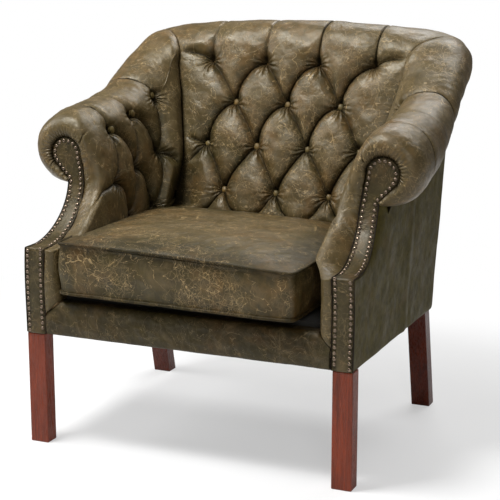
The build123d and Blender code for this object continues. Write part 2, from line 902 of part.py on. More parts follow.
def outside_back():
    """Plain leaning panel behind the frame, up under the back roll."""
    stations = [(x, z, r) for x, _, z, r in back_stations() if abs(x) < side_cover_x]
    under = under_roll(stations)
    points = [(-side_cover_x, leg_height), (side_cover_x, leg_height)]
    points += [(side_cover_x, under[-1][1])] + under[::-1] + [(-side_cover_x, under[0][1])]
    wire = Wire.make_polygon([Vector(x, 0, z) for x, z in points])
    outline = extrude(Face(wire), amount=back_roll_y + overrun, dir=(0, 1, 0))
    top_z = back_roll_z
    lean = [
        (back_foot_y - cover, leg_height),
        (back_foot_y, leg_height),
        (outside_back_y(top_z), top_z),
        (outside_back_y(top_z) - cover, top_z),
    ]
    sheet = side_prism(lean, -side_cover_x, side_cover_x) & outline
    sheet -= [rear_leg(), mirrored(rear_leg())]
    return one_solid(sheet)


# Seat

def front_border():
    """Padded leather over the front rail, with its rounded lip, mitred to the arm pads."""
    x = stump_inner_x
    y_back = front_rail_y + board
    lip = border_top_z - border_lip
    section = [
        line((-x, 0, leg_height), (-x, 0, lip)),
        arc(
            (-x, 0, lip),
            (-x, border_lip * (1 - cos(radians(45))), lip + border_lip * cos(radians(45))),
            (-x, border_lip, border_top_z),
        ),
        line((-x, border_lip, border_top_z), (-x, y_back, border_top_z)),
        line((-x, y_back, border_top_z), (-x, y_back, rail_top)),
        line((-x, y_back, rail_top), (-x, front_rail_y, rail_top)),
        line((-x, front_rail_y, rail_top), (-x, front_rail_y, leg_height)),
        line((-x, front_rail_y, leg_height), (-x, 0, leg_height)),
    ]
    border = extrude(Face(Wire(section)), amount=2 * x, dir=(1, 0, 0))
    return border


def deck_cloth_sheet():
    x = seat_inner_x
    y1 = seat_back_y
    return box(-x, x, front_rail_y + board, y1, rail_top, rail_top + deck_cloth)


def deck_pad():
    x = seat_inner_x
    z0 = rail_top + deck_cloth
    return box(-x, x, front_rail_y + board, seat_back_y, z0, deck_top)


def dust_cover():
    x = side_cover_x - board / 2
    y0 = front_rail_y + board / 2
    y1 = rear_rail_y + board / 2
    sheet = box(-x, x, y0, y1, leg_height - dust_cloth, leg_height)
    for side in (-1, 1):
        low_x = min(side * half, side * (half - leg_width - dust_cloth))
        high_x = max(side * half, side * (half - leg_width - dust_cloth))
        sheet -= box(low_x, high_x, 0, leg_depth + dust_cloth, 0, leg_height)
        low_x = min(side * half, side * (rear_leg_x - leg_width - dust_cloth))
        high_x = max(side * half, side * (rear_leg_x - leg_width - dust_cloth))
        sheet -= box(low_x, high_x, post_foot_front_y - dust_cloth, back_foot_y, 0, leg_height)
    return sheet


def zigzag_spring(x):
    """Zigzag wire from the front rail to the rear rail: straight runs joined by half turns."""
    z = rail_top - clip_thickness - spring_wire
    y0 = front_rail_y + board + spring_bend
    y1 = rear_rail_y - spring_bend
    turns = int((y1 - y0) / (2 * spring_bend))
    pitch = (y1 - y0) / turns
    radius = pitch / 2
    edges = []
    side = 1
    y = y0
    run = spring_half_width
    start = Vector(x - run, y, z)
    for _ in range(turns):
        end = Vector(x + side * run, y, z)
        edges.append(Edge.make_line(start, end))
        middle = Vector(x + side * (run + radius), y + radius, z)
        start = Vector(x + side * run, y + pitch, z)
        edges.append(Edge.make_three_point_arc(end, middle, start))
        y += pitch
        side = -side
    edges.append(Edge.make_line(start, Vector(x + side * run, y, z)))
    path = Wire(edges)
    profile = Plane(origin=path @ 0, z_dir=path % 0) * Circle(spring_wire)
    return sweep(profile, path=path)


def spring_places():
    room = 2 * (seat_inner_x - spring_half_width)
    return [-room / 2 + room * (k + 0.5) / spring_count for k in range(spring_count)]


def spring_clips():
    """Flat clips that hold the end runs of each spring to the rails."""
    clips = []
    z1 = rail_top
    for x in spring_places():
        for y_run, y_rail in (
            (front_rail_y + board + spring_bend, front_rail_y + board),
            (rear_rail_y - spring_bend, rear_rail_y),
        ):
            hook = spring_wire + clip_hook
            low = min(y_rail, y_run - hook)
            high = max(y_rail, y_run + hook)
            x0 = x - clip_width / 2
            clips.append(box(x0, x0 + clip_width, low, high, z1 - clip_thickness, z1))
    return clips


# Cushion

def cushion_plan(inset, z0, z1):
    """Rounded rectangle in plan."""
    x = seat_inner_x - cushion_side_gap - inset
    y0 = cushion_front_y + inset
    y1 = seat_back_y - cushion_rear_gap - inset
    r = cushion_corner - inset
    diagonal = r * (1 - cos(radians(45)))
    edges = [
        line((-x + r, y0, z0), (x - r, y0, z0)),
        arc((x - r, y0, z0), (x - diagonal, y0 + diagonal, z0), (x, y0 + r, z0)),
        line((x, y0 + r, z0), (x, y1 - r, z0)),
        arc((x, y1 - r, z0), (x - diagonal, y1 - diagonal, z0), (x - r, y1, z0)),
        line((x - r, y1, z0), (-x + r, y1, z0)),
        arc((-x + r, y1, z0), (-x + diagonal, y1 - diagonal, z0), (-x, y1 - r, z0)),
        line((-x, y1 - r, z0), (-x, y0 + r, z0)),
        arc((-x, y0 + r, z0), (-x + diagonal, y0 + diagonal, z0), (-x + r, y0, z0)),
    ]
    return edges, extrude(Face(Wire(edges)), amount=z1 - z0, dir=(0, 0, 1))


# Shares of the cushion's depth, and of its crown there
crown_shares = [(0.0, 0.0), (0.07, 0.5), (0.25, 0.88), (0.5, 1.0), (0.75, 0.9), (0.93, 0.5), (1.0, 0.0)]


def cushion_body(inset):
    """Crowned block, cut to its plan, with the sides drawn in between the welts."""
    x = seat_inner_x
    y0 = cushion_front_y - cushion_rear_gap
    y1 = seat_back_y
    low = cushion_low_z + inset
    high = cushion_high_z - inset
    sag = cushion_low_z - deck_top - 2 * rest_gap
    sections = []
    for along, crown in crown_shares:
        y = mix(y0, y1, along)
        top = high + cushion_crown * crown + rest_gap
        bottom = low - sag * crown - rest_gap
        edges = [
            line((-x, y, low), (-x, y, high)),
            arc((-x, y, high), (0, y, top), (x, y, high)),
            line((x, y, high), (x, y, low)),
            arc((x, y, low), (0, y, bottom), (-x, y, low)),
        ]
        sections.append(Face(Wire(edges)))
    blank = loft(sections)
    _, plan = cushion_plan(inset, low - overrun, high + overrun)
    return one_solid(blank & plan)


def welt(z):
    edges, _ = cushion_plan(0, z, z + welt_radius)
    path = Wire(edges)
    profile = Plane(origin=path @ 0, z_dir=path % 0) * Circle(welt_radius)
    return sweep(profile, path=path)


def cushion_pieces():
    welts = [welt(cushion_low_z), welt(cushion_high_z)]
    body = cushion_body(0)
    foam = cushion_body(leather)
    body -= welts
    foam -= welts
    cover_shell = body - foam
    y1 = seat_back_y - cushion_rear_gap
    z = (cushion_low_z + cushion_high_z) / 2
    x = seat_inner_x - cushion_side_gap - zip_margin
    tape = box(-x, x, y1, y1 + zip_thickness, z - zip_width / 2, z + zip_width / 2)
    return cover_shell, one_solid(foam), welts, tape


# Nails

def nail_line():
    """Points and outward directions along the nail rows: up outside, over the head, down inside."""
    outline = facing_outline(nail_margin, 0)
    path = Wire(outline[1:-1])
    steps = ceil(path.length / nail_step)
    points = []
    for k in range(steps + 1):
        p = path @ (k / steps)
        points.append((p.X, p.Z))
    return points


def on_sweep(x, z):
    """Place and outward direction on the facing's face for a point of the front view."""
    z_centre = kink_z + neck_radius
    if z <= kink_z:
        return Vector(x, 0, z), Vector(0, -1, 0)
    if z >= z_centre:
        return Vector(x, head_y, z), Vector(0, -1, 0)
    angle = acos((z_centre - z) / neck_radius)
    y = shelf_depth + neck_radius * sin(angle)
    return Vector(x, y, z), Vector(0, -sin(angle), cos(angle))


def shelf_points(x):
    """Points along the short flat shelf above the kink."""
    lean = radians(shelf_nail_angle)
    aim = Vector(0, -sin(lean), cos(lean))
    count = ceil(shelf_depth / nail_step)
    return [(Vector(x, shelf_depth * k / count, kink_z), aim) for k in range(1, count)]


def nail_places():
    """Nails at an even pitch along the rows, laid over the kink, the neck and the head."""
    front = nail_line()
    track = []
    previous = None
    for x, z in front:
        if z < leg_height + nail_start:
            continue
        if previous is not None and previous <= kink_z < z:
            track += shelf_points(x)
        if previous is not None and previous > kink_z >= z:
            track += shelf_points(x)[::-1]
        track.append(on_sweep(x, z))
        previous = z
    places = [track[0]]
    travelled = 0.0
    for (a, _), (b, direction) in zip(track, track[1:]):
        travelled += (b - a).length
        if travelled >= nail_pitch:
            places.append((b, direction))
            travelled -= nail_pitch
    return places


def nail(place, direction):
    """Domed head on its shank, driven into the stump through the facing."""
    edges = [
        line((0, 0, -nail_shank), (nail_shank_radius, 0, -nail_shank)),
        line((nail_shank_radius, 0, -nail_shank), (nail_shank_radius, 0, 0)),
        line((nail_shank_radius, 0, 0), (nail_radius, 0, 0)),
        dome(nail_radius, 0, nail_head_height),
        line((0, 0, nail_head_height), (0, 0, -nail_shank)),
    ]
    return Plane(origin=place, z_dir=direction) * revolve(Face(Wire(edges)), axis=Axis.Z)


# Assembly

def pieces():
    """Every node with its solid or its group of solids."""
    parts = {}

    leg = front_leg()
    rear = rear_leg()
    rail_front = front_rail()
    rail_rear = rear_rail()
    rail_side = side_rail()
    dowels = frame_dowels()
    screws = block_screws()
    block_front = front_corner_block()
    block_rear = rear_corner_block()
    bars = dowels + screws
    rail_side -= bars
    leg -= bars
    rear -= bars
    block_front -= bars + screw_bores()
    block_rear -= bars + screw_bores()
    bars += [mirrored(bar) for bar in bars]
    rail_front -= bars
    rail_rear -= bars

    stump = arm_stump()
    facing = arm_facing()
    top_rail = arm_top_rail()
    tack_rail = arm_tack_rail()
    straps = arm_webbing()
    neighbours = [stump, top_rail, tack_rail, rear, facing] + straps
    pad = inside_arm(neighbours)

    back_top = back_top_rail()
    back_tack = back_tack_rail()
    back_straps = back_webbing()
    back_pad = inside_back([rear, mirrored(rear), back_top, back_tack] + back_straps)
    side_panel = outside_arm()
    rear_panel = outside_back()

    border = front_border()
    border -= facing
    border -= mirrored(facing)
    corner_cut = border_corner()
    border -= corner_cut
    border -= mirrored(corner_cut)
    pad = one_solid(pad - border)
    nails = [nail(place, direction) for place, direction in nail_places()]
    arm_buttons = [button(arm_fold_plane, u, v) for u, v in arm_button_uv()]
    cover_shell, foam, welts, tape = cushion_pieces()

    sided = {
        "front_leg": leg,
        "rear_leg": rear,
        "side_rail": rail_side,
        "corner_block_front": block_front,
        "corner_block_rear": block_rear,
        "arm_stump": stump,
        "arm_top_rail": top_rail,
        "arm_tack_rail": tack_rail,
        "arm_webbing": straps,
        "inside_arm": pad,
        "outside_arm": side_panel,
        "arm_facing": facing,
        "facing_nails": nails,
        "arm_buttons": arm_buttons,
    }
    for name, shape in sided.items():
        solids = shape if isinstance(shape, list) else [shape]
        parts[name + "_right"] = solids
        parts[name + "_left"] = [mirrored(solid) for solid in solids]
    parts["front_rail"] = [rail_front]
    parts["rear_rail"] = [rail_rear]
    parts["frame_dowels"] = dowels + [mirrored(bar) for bar in dowels]
    parts["corner_block_screws"] = screws + [mirrored(bar) for bar in screws]
    parts["back_top_rail"] = [back_top]
    parts["back_tack_rail"] = [back_tack]
    parts["back_webbing"] = back_straps
    parts["inside_back"] = [back_pad]
    parts["outside_back"] = [rear_panel]
    parts["back_buttons"] = [button(back_fold_plane, u, v) for u, v in back_button_uv()]
    parts["front_border"] = [border]
    parts["deck_cloth"] = [deck_cloth_sheet()]
    parts["deck_pad"] = [deck_pad()]
    parts["seat_springs"] = [zigzag_spring(x) for x in spring_places()]
    parts["spring_clips"] = spring_clips()
    parts["dust_cover"] = [dust_cover()]
    parts["cushion_cover"] = [cover_shell]
    parts["cushion_foam"] = [foam]
    parts["cushion_welts"] = welts
    parts["cushion_zip"] = [tape]
    return parts


def border_corner():
    """Corner that the arm pad takes from the border, above the sloping mitre."""
    low = border_top_z - mitre_inset
    points = [
        Vector(stump_inner_x, -overrun, low),
        Vector(stump_inner_x + overrun, -overrun, low),
        Vector(stump_inner_x + overrun, -overrun, border_top_z + overrun),
        Vector(stump_inner_x - mitre_inset - overrun, -overrun, border_top_z + overrun),
        Vector(stump_inner_x - mitre_inset, -overrun, border_top_z),
    ]
    face = Face(Wire.make_polygon(points))
    return extrude(face, amount=2 * overrun + front_rail_y + board, dir=(0, 1, 0))


def main():
    parts = pieces()
    solids = {name: [s for shape in shapes for s in shape.solids()] for name, shapes in parts.items()}
    boxes = [solid.bounding_box() for group in solids.values() for solid in group]
    front = min(bounds.min.Y for bounds in boxes)
    rear = max(bounds.max.Y for bounds in boxes)
    shift = Pos(0, -(front + rear) / 2, 0)
    print("front to back", round(rear - front, 2), "shift", round(shift.position.Y, 3))
    os.makedirs("parts", exist_ok=True)
    for name, group in solids.items():
        moved = [shift * solid for solid in group]
        shape = moved[0] if len(moved) == 1 else Compound(children=moved)
        shape.label = name
        export_step(shape, os.path.join("parts", name + ".step"))
        print(name, len(moved), round(sum(solid.volume for solid in moved)))


if __name__ == "__main__":
    main()
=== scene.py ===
import json
import math

import bmesh
import bpy
import numpy as np
from bpy.props import FloatProperty, FloatVectorProperty, IntProperty, PointerProperty
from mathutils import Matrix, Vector


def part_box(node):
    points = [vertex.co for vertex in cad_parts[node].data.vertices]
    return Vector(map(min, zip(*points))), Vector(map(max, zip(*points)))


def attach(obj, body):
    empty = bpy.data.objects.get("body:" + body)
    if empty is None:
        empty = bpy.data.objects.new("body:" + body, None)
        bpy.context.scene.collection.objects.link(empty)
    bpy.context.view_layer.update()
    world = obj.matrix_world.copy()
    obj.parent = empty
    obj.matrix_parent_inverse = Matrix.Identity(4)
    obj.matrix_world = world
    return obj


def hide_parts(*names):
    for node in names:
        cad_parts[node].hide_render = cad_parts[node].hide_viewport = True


bl_info = {
    "name": "Buttoned leather armchair",
    "version": (1, 0, 0),
    "blender": (4, 5, 0),
    "location": "3D View > Sidebar > Armchair",
    "description": "Upholsters the armchair's frame: tufted pads, nails, buttons, cushion and legs",
    "category": "Add Mesh",
}

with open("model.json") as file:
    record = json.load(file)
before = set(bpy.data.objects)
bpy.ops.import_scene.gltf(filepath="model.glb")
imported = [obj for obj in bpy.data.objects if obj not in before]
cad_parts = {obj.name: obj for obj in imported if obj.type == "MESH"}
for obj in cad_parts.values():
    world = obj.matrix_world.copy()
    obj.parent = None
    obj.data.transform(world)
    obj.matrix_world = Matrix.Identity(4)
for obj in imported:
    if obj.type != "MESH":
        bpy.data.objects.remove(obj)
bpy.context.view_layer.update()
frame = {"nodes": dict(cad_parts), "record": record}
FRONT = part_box("arm_facing_left")[0][1]      # the front faces, in the row frame
SIDES = (("left", -1.0), ("right", 1.0))


# Sizes in millimetres, measured from the chair's front faces, its middle and the floor

HALF = 361.0                   # outer face of the front legs and of the side panels
RAIL_Z = 240.0                 # lower edge of the covers
KINK_Z = 421.0                 # top of the arm front's upright part
HEAD_Y = 169.0                 # face of the arm front's head
NECK_R = 146.0                 # sweep between them
HEAD = (356.5, 595.0, 34.5)    # x, z and radius of the head
PAD_LOW = 309.0                # lower edge of the inner pads
LEDGE = (416.0, 428.0)         # heights of the arm pad beside the ledge of the arm front
LEDGE_Y = HEAD_Y - NECK_R      # depth of the ledge, and of the sweep's centre
NECK_TOP = KINK_Z + NECK_R     # upper end of the sweep, height of its centre
SWEEP_TOP = NECK_TOP - 1.0     # just under it
HUB = (330.0, 216.0, 440.0)    # hidden point that closes the front end of an arm pad
TUFT_LOW = 432.0               # where the buttoning starts
TUFT_DEPTH = 22.0              # puff that the folds' depths are written for
BESIDE_X = 287.0               # arm pad beside the cushion, back pad behind it
BEHIND_Y = 447.0
ARM_LOW_Z = 443.0              # lowest buttons of the arms and of the back
BACK_LOW_Z = 480.0
ARM_WELL = 288.0               # floor of their wells: x in the arms, y in the back
BACK_WELL = 487.0
ARM_CREST = 257.0              # arm pad's crests at the lowest buttons, and how they lean
CREST_LEAN = 0.06
FLARE = 18.0                   # more lean under the roll, from this height
FLARE_LOW = 500.0
BACK_CREST = 456.0             # back pad's crests at the lowest buttons, and how they lean
RECLINE = 0.363
REAR_Y = 532.0                 # outside back at the rail, and how it leans
BACK_LEAN = 0.2235
MITRE = 0.33                   # seam between arm and back
MITRE_OFFSET = 29.0
CORNER_Z = 787.0               # axis of both rolls where they meet
PANEL_CREST = 0.35             # crest value of the plain panels: below the worn range, it darkens them evenly
HIDE = 0.003                   # thickness of the leather in metres

# Arm roll: y, x, z and radius of its axis from the front to the corner
ARM_ROLL = (
    (206.0, 362.0, 606.0, 79.0),
    (245.0, 365.0, 615.0, 76.0),
    (337.0, 369.0, 635.0, 66.0),
    (443.0, 369.0, 676.0, 54.0),
    (507.0, 367.5, 720.0, 51.5),
    (560.0, 365.0, 754.0, 50.0),
    (600.0, 363.0, 775.0, 49.0),
    (620.0, 359.5, 782.0, 48.5),
    (641.0, 350.0, 787.0, 48.0),
)

# Back roll: x, y, z and radius of its axis from the middle to the corner
BACK_ROLL = (
    (0.0, 649.0, 807.5, 55.0),
    (153.0, 654.0, 803.5, 53.5),
    (240.0, 656.0, 799.5, 52.0),
    (300.0, 655.5, 795.5, 50.5),
    (330.0, 650.5, 791.0, 49.0),
    (350.0, 641.0, 787.0, 48.0),
)


class ChairSizes(bpy.types.PropertyGroup):
    """Sizes that an upholsterer would set."""

    puff: FloatProperty(
        name="Puff", description="Height of a tuft over its fold lines", default=0.022,
        unit="LENGTH",
    )
    button_sink: FloatProperty(
        name="Button sink", description="Depth of a button under the fold lines", default=0.009,
        unit="LENGTH",
    )
    button_radius: FloatProperty(
        name="Button radius", description="Radius of a covered button", default=0.0085,
        unit="LENGTH",
    )
    nail_radius: FloatProperty(
        name="Nail radius", description="Radius of a nail's head", default=0.0038, unit="LENGTH"
    )
    nail_pitch: FloatProperty(
        name="Nail pitch", description="Distance between two nails", default=0.0113, unit="LENGTH"
    )
    cushion_crown: FloatProperty(
        name="Cushion crown", description="Rise of the seat cushion's middle over its welt",
        default=0.030, unit="LENGTH",
    )
    welt_radius: FloatProperty(
        name="Welt radius", description="Radius of the cushion's welts", default=0.0034,
        unit="LENGTH",
    )
    mesh_step: FloatProperty(
        name="Mesh step", description="Spacing of the leather's vertices", default=0.0027,
        unit="LENGTH",
    )
    nail_sides: IntProperty(
        name="Nail sides", description="Sides of a nail's head", default=12, min=6, max=24
    )


class ChairColours(bpy.types.PropertyGroup):
    """Colours of the leather, the wood and the metal."""

    leather: FloatVectorProperty(
        name="Leather", description="Waxed olive leather", subtype="COLOR", size=3,
        default=(0.052, 0.0385, 0.0108), min=0.0, max=1.0,
    )
    leather_brown: FloatVectorProperty(
        name="Brown patches", description="Browner patches of the leather", subtype="COLOR", size=3,
        default=(0.092, 0.050, 0.0135), min=0.0, max=1.0,
    )
    leather_vein: FloatVectorProperty(
        name="Veins", description="Pale pulled-up creases", subtype="COLOR", size=3,
        default=(0.36, 0.25, 0.115), min=0.0, max=1.0,
    )
    wood: FloatVectorProperty(
        name="Leg wood", description="Polished mahogany", subtype="COLOR", size=3,
        default=(0.158, 0.025, 0.007), min=0.0, max=1.0,
    )
    nails: FloatVectorProperty(
        name="Nails", description="Antique bronze", subtype="COLOR", size=3,
        default=(0.22, 0.165, 0.12), min=0.0, max=1.0,
    )


# Node trees

class Tree:
    """Short hand for building a material's node tree."""

    def __init__(self, name):
        self.material = bpy.data.materials.new(name)
        self.material.use_nodes = True
        self.nodes = self.material.node_tree.nodes
        self.links = self.material.node_tree.links
        self.nodes.clear()
        self.output = self.nodes.new("ShaderNodeOutputMaterial")
        self.shader = self.nodes.new("ShaderNodeBsdfPrincipled")
        self.links.new(self.shader.outputs[0], self.output.inputs[0])
        self.place = self.nodes.new("ShaderNodeTexCoord").outputs["Object"]

    def put(self, socket, value):
        if isinstance(value, bpy.types.NodeSocket):
            self.links.new(value, socket)
        else:
            socket.default_value = value

    def set(self, name, value):
        self.put(self.shader.inputs[name], value)

    def math(self, kind, a, b=0.0, c=0.0, clamp=False):
        node = self.nodes.new("ShaderNodeMath")
        node.operation = kind
        node.use_clamp = clamp
        for socket, value in zip(node.inputs, (a, b, c)):
            self.put(socket, value)
        return node.outputs[0]

    def stretch(self, scale):
        node = self.nodes.new("ShaderNodeMapping")
        self.put(node.inputs["Vector"], self.place)
        node.inputs["Scale"].default_value = scale
        return node.outputs[0]

    def noise(self, scale, detail=3.0, rough=0.5, warp=0.0, vector=None):
        node = self.nodes.new("ShaderNodeTexNoise")
        self.put(node.inputs["Vector"], vector or self.place)
        node.inputs["Scale"].default_value = scale
        node.inputs["Detail"].default_value = detail
        node.inputs["Roughness"].default_value = rough
        node.inputs["Distortion"].default_value = warp
        return node.outputs["Fac"]

    def cells(self, scale, feature="DISTANCE_TO_EDGE", vector=None):
        node = self.nodes.new("ShaderNodeTexVoronoi")
        node.feature = feature
        self.put(node.inputs["Vector"], vector or self.place)
        node.inputs["Scale"].default_value = scale
        return node.outputs["Distance"]

    def warped(self, scale, amount):
        """The piece's own coordinates, pushed about by a noise."""
        noise = self.nodes.new("ShaderNodeTexNoise")
        self.put(noise.inputs["Vector"], self.place)
        noise.inputs["Scale"].default_value = scale
        noise.inputs["Detail"].default_value = 4.0
        centre = self.nodes.new("ShaderNodeVectorMath")
        centre.operation = "SUBTRACT"
        self.put(centre.inputs[0], noise.outputs["Color"])
        centre.inputs[1].default_value = (0.5, 0.5, 0.5)
        push = self.nodes.new("ShaderNodeVectorMath")
        push.operation = "MULTIPLY_ADD"
        self.put(push.inputs[0], centre.outputs[0])
        push.inputs[1].default_value = (amount, amount, amount)
        self.put(push.inputs[2], self.place)
        return push.outputs[0]

    def remap(self, value, low, high, to_low=0.0, to_high=1.0):
        node = self.nodes.new("ShaderNodeMapRange")
        node.interpolation_type = "SMOOTHSTEP"
        for socket, number in zip(node.inputs, (value, low, high, to_low, to_high)):
            self.put(socket, number)
        return node.outputs[0]

    def mix(self, share, a, b):
        node = self.nodes.new("ShaderNodeMix")
        node.data_type = "RGBA"
        self.put(node.inputs["Factor"], share)
        for name, value in (("A", a), ("B", b)):
            socket = [s for s in node.inputs if s.name == name and s.type == "RGBA"][0]
            if not isinstance(value, bpy.types.NodeSocket):
                value = (*value[:3], 1.0)
            self.put(socket, value)
        return [s for s in node.outputs if s.type == "RGBA"][0]

    def split(self, vector):
        node = self.nodes.new("ShaderNodeSeparateXYZ")
        self.put(node.inputs[0], vector)
        return node.outputs

    def attribute(self, name, output="Fac"):
        node = self.nodes.new("ShaderNodeAttribute")
        node.attribute_name = name
        return node.outputs[output]

    def bump(self, height, depth, strength=1.0, after=None):
        node = self.nodes.new("ShaderNodeBump")
        node.inputs["Strength"].default_value = strength
        node.inputs["Distance"].default_value = depth
        self.put(node.inputs["Height"], height)
        if after is not None:
            self.put(node.inputs["Normal"], after)
        return node.outputs[0]


def tint(colour, factor):
    return tuple(min(1.0, c * factor) for c in colour)


# Nets of creases: cells, scale and amount of their warp, width, scale and limits of the patches
# where they show, strength
CREASE_NETS = (
    (19.0, 15.0, 0.060, 0.013, 9.0, 0.50, 0.64, 0.7),
    (37.0, 26.0, 0.036, 0.018, 12.0, 0.48, 0.64, 0.6),
    (88.0, 60.0, 0.016, 0.042, 8.0, 0.46, 0.60, 0.55),
)
# Single creases: scale, warp, width, scale and limits of the patches where they show
CREASE_THREADS = (
    (7.0, 1.5, 0.0046, 7.0, 0.34, 0.50),
    (17.0, 1.7, 0.0068, 9.0, 0.34, 0.50),
)


def leather_material(name, base, brown, vein, veins=1.0, tufted=False, sheen=0.42):
    """Waxed pull-up leather: mottled colour, pale branching creases, worn crests, and painted shade
    in folds, hollows and seams.
    """
    tree = Tree(name)
    patches = tree.remap(tree.noise(6.5, 4.0, 0.6, 0.6), 0.42, 0.64)
    colour = tree.mix(patches, base, brown)
    mottle = tree.remap(tree.noise(48.0, 6.0, 0.66, 0.3), 0.34, 0.66)
    colour = tree.mix(mottle, tint(base, 0.55), colour)
    cloud = tree.remap(tree.noise(17.0, 5.0, 0.62, 0.8), 0.48, 0.76, 0.0, 0.45)
    colour = tree.mix(cloud, colour, tint(vein, 0.42))
    crest = tree.attribute("crest")
    worn = tree.remap(crest, 0.50, 1.0, 0.0, 0.60)
    worn = tree.math("MULTIPLY", worn, tree.noise(30.0, 5.0, 0.62))
    colour = tree.mix(worn, colour, tint(vein, 0.40))

    def shows(lines, scale, rough, warp, low, high):
        """The lines, only in patches."""
        where = tree.remap(tree.noise(scale, 3.0, rough, warp), low, high)
        return tree.math("MULTIPLY", lines, where)

    lines = 0.0
    for cells, warp_scale, warp, width, scale, low, high, strength in CREASE_NETS:
        edges = tree.cells(cells, vector=tree.warped(warp_scale, warp))
        net = shows(tree.remap(edges, 0.0, width, 1.0, 0.0), scale, 0.55, 0.6, low, high)
        lines = tree.math("MAXIMUM", lines, tree.math("MULTIPLY", net, strength))
    for threads, warp, width, scale, low, high in CREASE_THREADS:
        middle = tree.math("SUBTRACT", tree.noise(threads, 4.0, 0.52, warp), 0.5)
        level = tree.math("ABSOLUTE", middle)
        thread = shows(tree.remap(level, 0.0, width, 1.0, 0.0), scale, 0.5, 0.4, low, high)
        lines = tree.math("MAXIMUM", lines, thread)
    fine = tree.remap(tree.noise(120.0, 4.0, 0.6), 0.34, 0.58, 0.35, 1.0)
    shown = tree.math("MULTIPLY", tree.math("MULTIPLY", lines, fine), 0.80 * veins)
    colour = tree.mix(shown, colour, vein)
    # Painted shade: the mesh's shade mark darkens folds, button wells, seams and edges, and a low
    # crest value darkens hollows as if they were in shadow. Pieces without these values, such as
    # welts and cords, take the full hollow shade. The same mask roughens the leather and dulls its
    # reflection.
    painted_shade = tree.attribute("painted_shade")
    valley = tree.remap(crest, 0.0, 0.80, 0.55, 0.0)
    shade_strength = tree.math("MAXIMUM", tree.remap(painted_shade, 0.10, 0.90, 0.0, 0.92), valley)
    colour = tree.mix(shade_strength, colour, tint(base, 0.08))
    tree.set("Base Color", colour)
    rough = tree.remap(tree.noise(22.0, 4.0, 0.6), 0.30, 0.72, 0.33, 0.50)
    rough = tree.math("ADD", rough, tree.math("MULTIPLY", shade_strength, 0.35), clamp=True)
    tree.set("Roughness", rough)
    tree.set("Specular IOR Level", tree.math("MULTIPLY_ADD", shade_strength, -sheen, sheen, clamp=True))
    tree.shader.inputs["Specular Tint"].default_value = (1.0, 0.95, 0.80, 1.0)
    grain = tree.cells(640.0, "F1", tree.warped(300.0, 0.0012))
    pores = tree.noise(900.0, 2.0, 0.5)
    normal = tree.bump(tree.math("ADD", grain, tree.math("MULTIPLY", pores, 0.5)), 0.00030, 0.45)
    normal = tree.bump(tree.noise(64.0, 3.0, 0.5, 0.9), 0.0024, 0.40, normal)
    normal = tree.bump(tree.noise(20.0, 2.0, 0.45, 0.6), 0.0080, 0.30, normal)
    normal = tree.bump(tree.math("SUBTRACT", 1.0, shown), 0.0005, 0.60, normal)
    if tufted:
        across, up, distance = tree.split(tree.attribute("tuft", "Vector"))
        angle = tree.math("ARCTAN2", up, across)
        uneven = tree.math("MULTIPLY", tree.noise(36.0, 2.0), 9.0)
        rays = tree.math("SINE", tree.math("MULTIPLY_ADD", angle, 13.0, uneven))
        near = tree.remap(distance, 0.008, 0.048, 1.0, 0.0)
        below = tree.math("MULTIPLY_ADD", tree.math("SINE", angle), -0.6, 0.55, clamp=True)
        near = tree.math("MULTIPLY", near, below)
        normal = tree.bump(tree.math("MULTIPLY", rays, near), 0.0018, 0.90, normal)
        along, amount, _ = tree.split(tree.attribute("gather", "Vector"))
        uneven = tree.math("MULTIPLY", tree.noise(30.0, 2.0, 0.5, 0.5), 12.0)
        ripple = tree.math("SINE", tree.math("MULTIPLY_ADD", along, 62.0, uneven))
        ripple = tree.math("MULTIPLY", ripple, amount)
        normal = tree.bump(ripple, 0.0014, 0.80, normal)
    tree.set("Normal", normal)
    return tree.material


def wood_material(name, colour, gloss=0.24, grain=(1.0, 1.0, 0.07)):
    """Stained and polished wood, its grain long where the scale in grain is small."""
    tree = Tree(name)
    along = tree.stretch(grain)
    figure = tree.remap(tree.noise(95.0, 5.0, 0.6, 1.6, along), 0.34, 0.68)
    fibre = tree.remap(tree.noise(520.0, 3.0, 0.6, 0.2, along), 0.36, 0.66)
    body = tree.mix(figure, tint(colour, 0.62), tint(colour, 1.30))
    body = tree.mix(tree.math("MULTIPLY", fibre, 0.35), body, tint(colour, 0.42))
    cloud = tree.remap(tree.noise(9.0, 3.0, 0.5), 0.35, 0.65, 0.0, 0.35)
    body = tree.mix(cloud, body, tint(colour, 1.55))
    tree.set("Base Color", body)
    tree.set("Roughness", tree.remap(fibre, 0.0, 1.0, gloss, gloss + 0.16))
    tree.shader.inputs["Specular IOR Level"].default_value = 0.30
    tree.set("Normal", tree.bump(fibre, 0.0003, 0.35))
    return tree.material


def metal_material(name, colour, rough, patina):
    """Worn metal with dark patina in patches."""
    tree = Tree(name)
    spots = tree.remap(tree.noise(260.0, 3.0, 0.6), 0.40, 0.66, 0.0, patina)
    tree.set("Base Color", tree.mix(spots, colour, tint(colour, 0.22)))
    tree.shader.inputs["Metallic"].default_value = 1.0
    tree.set("Roughness", tree.remap(tree.noise(180.0, 2.0), 0.35, 0.65, rough, rough + 0.22))
    tree.set("Normal", tree.bump(tree.noise(700.0, 2.0), 0.0002, 0.3))
    return tree.material


def cloth_material(name, colour, threads):
    """Plain woven cloth."""
    tree = Tree(name)
    x, y, z = tree.split(tree.place)
    across = tree.math("SINE", tree.math("MULTIPLY", x, threads * 2.2))
    depth = tree.math("ADD", y, z)
    along = tree.math("SINE", tree.math("MULTIPLY", depth, threads * 2.2))
    weave = tree.math("MULTIPLY", across, along)
    shade = tree.remap(weave, -1.0, 1.0)
    base = tree.mix(shade, tint(colour, 0.72), colour)
    fluff = tree.remap(tree.noise(60.0, 4.0), 0.35, 0.7, 0.0, 0.3)
    tree.set("Base Color", tree.mix(fluff, base, tint(colour, 1.4)))
    tree.shader.inputs["Roughness"].default_value = 0.85
    tree.shader.inputs["Sheen Weight"].default_value = 0.04
    tree.set("Normal", tree.bump(weave, 0.0003, 0.5))
    return tree.material


MATERIALS = {}


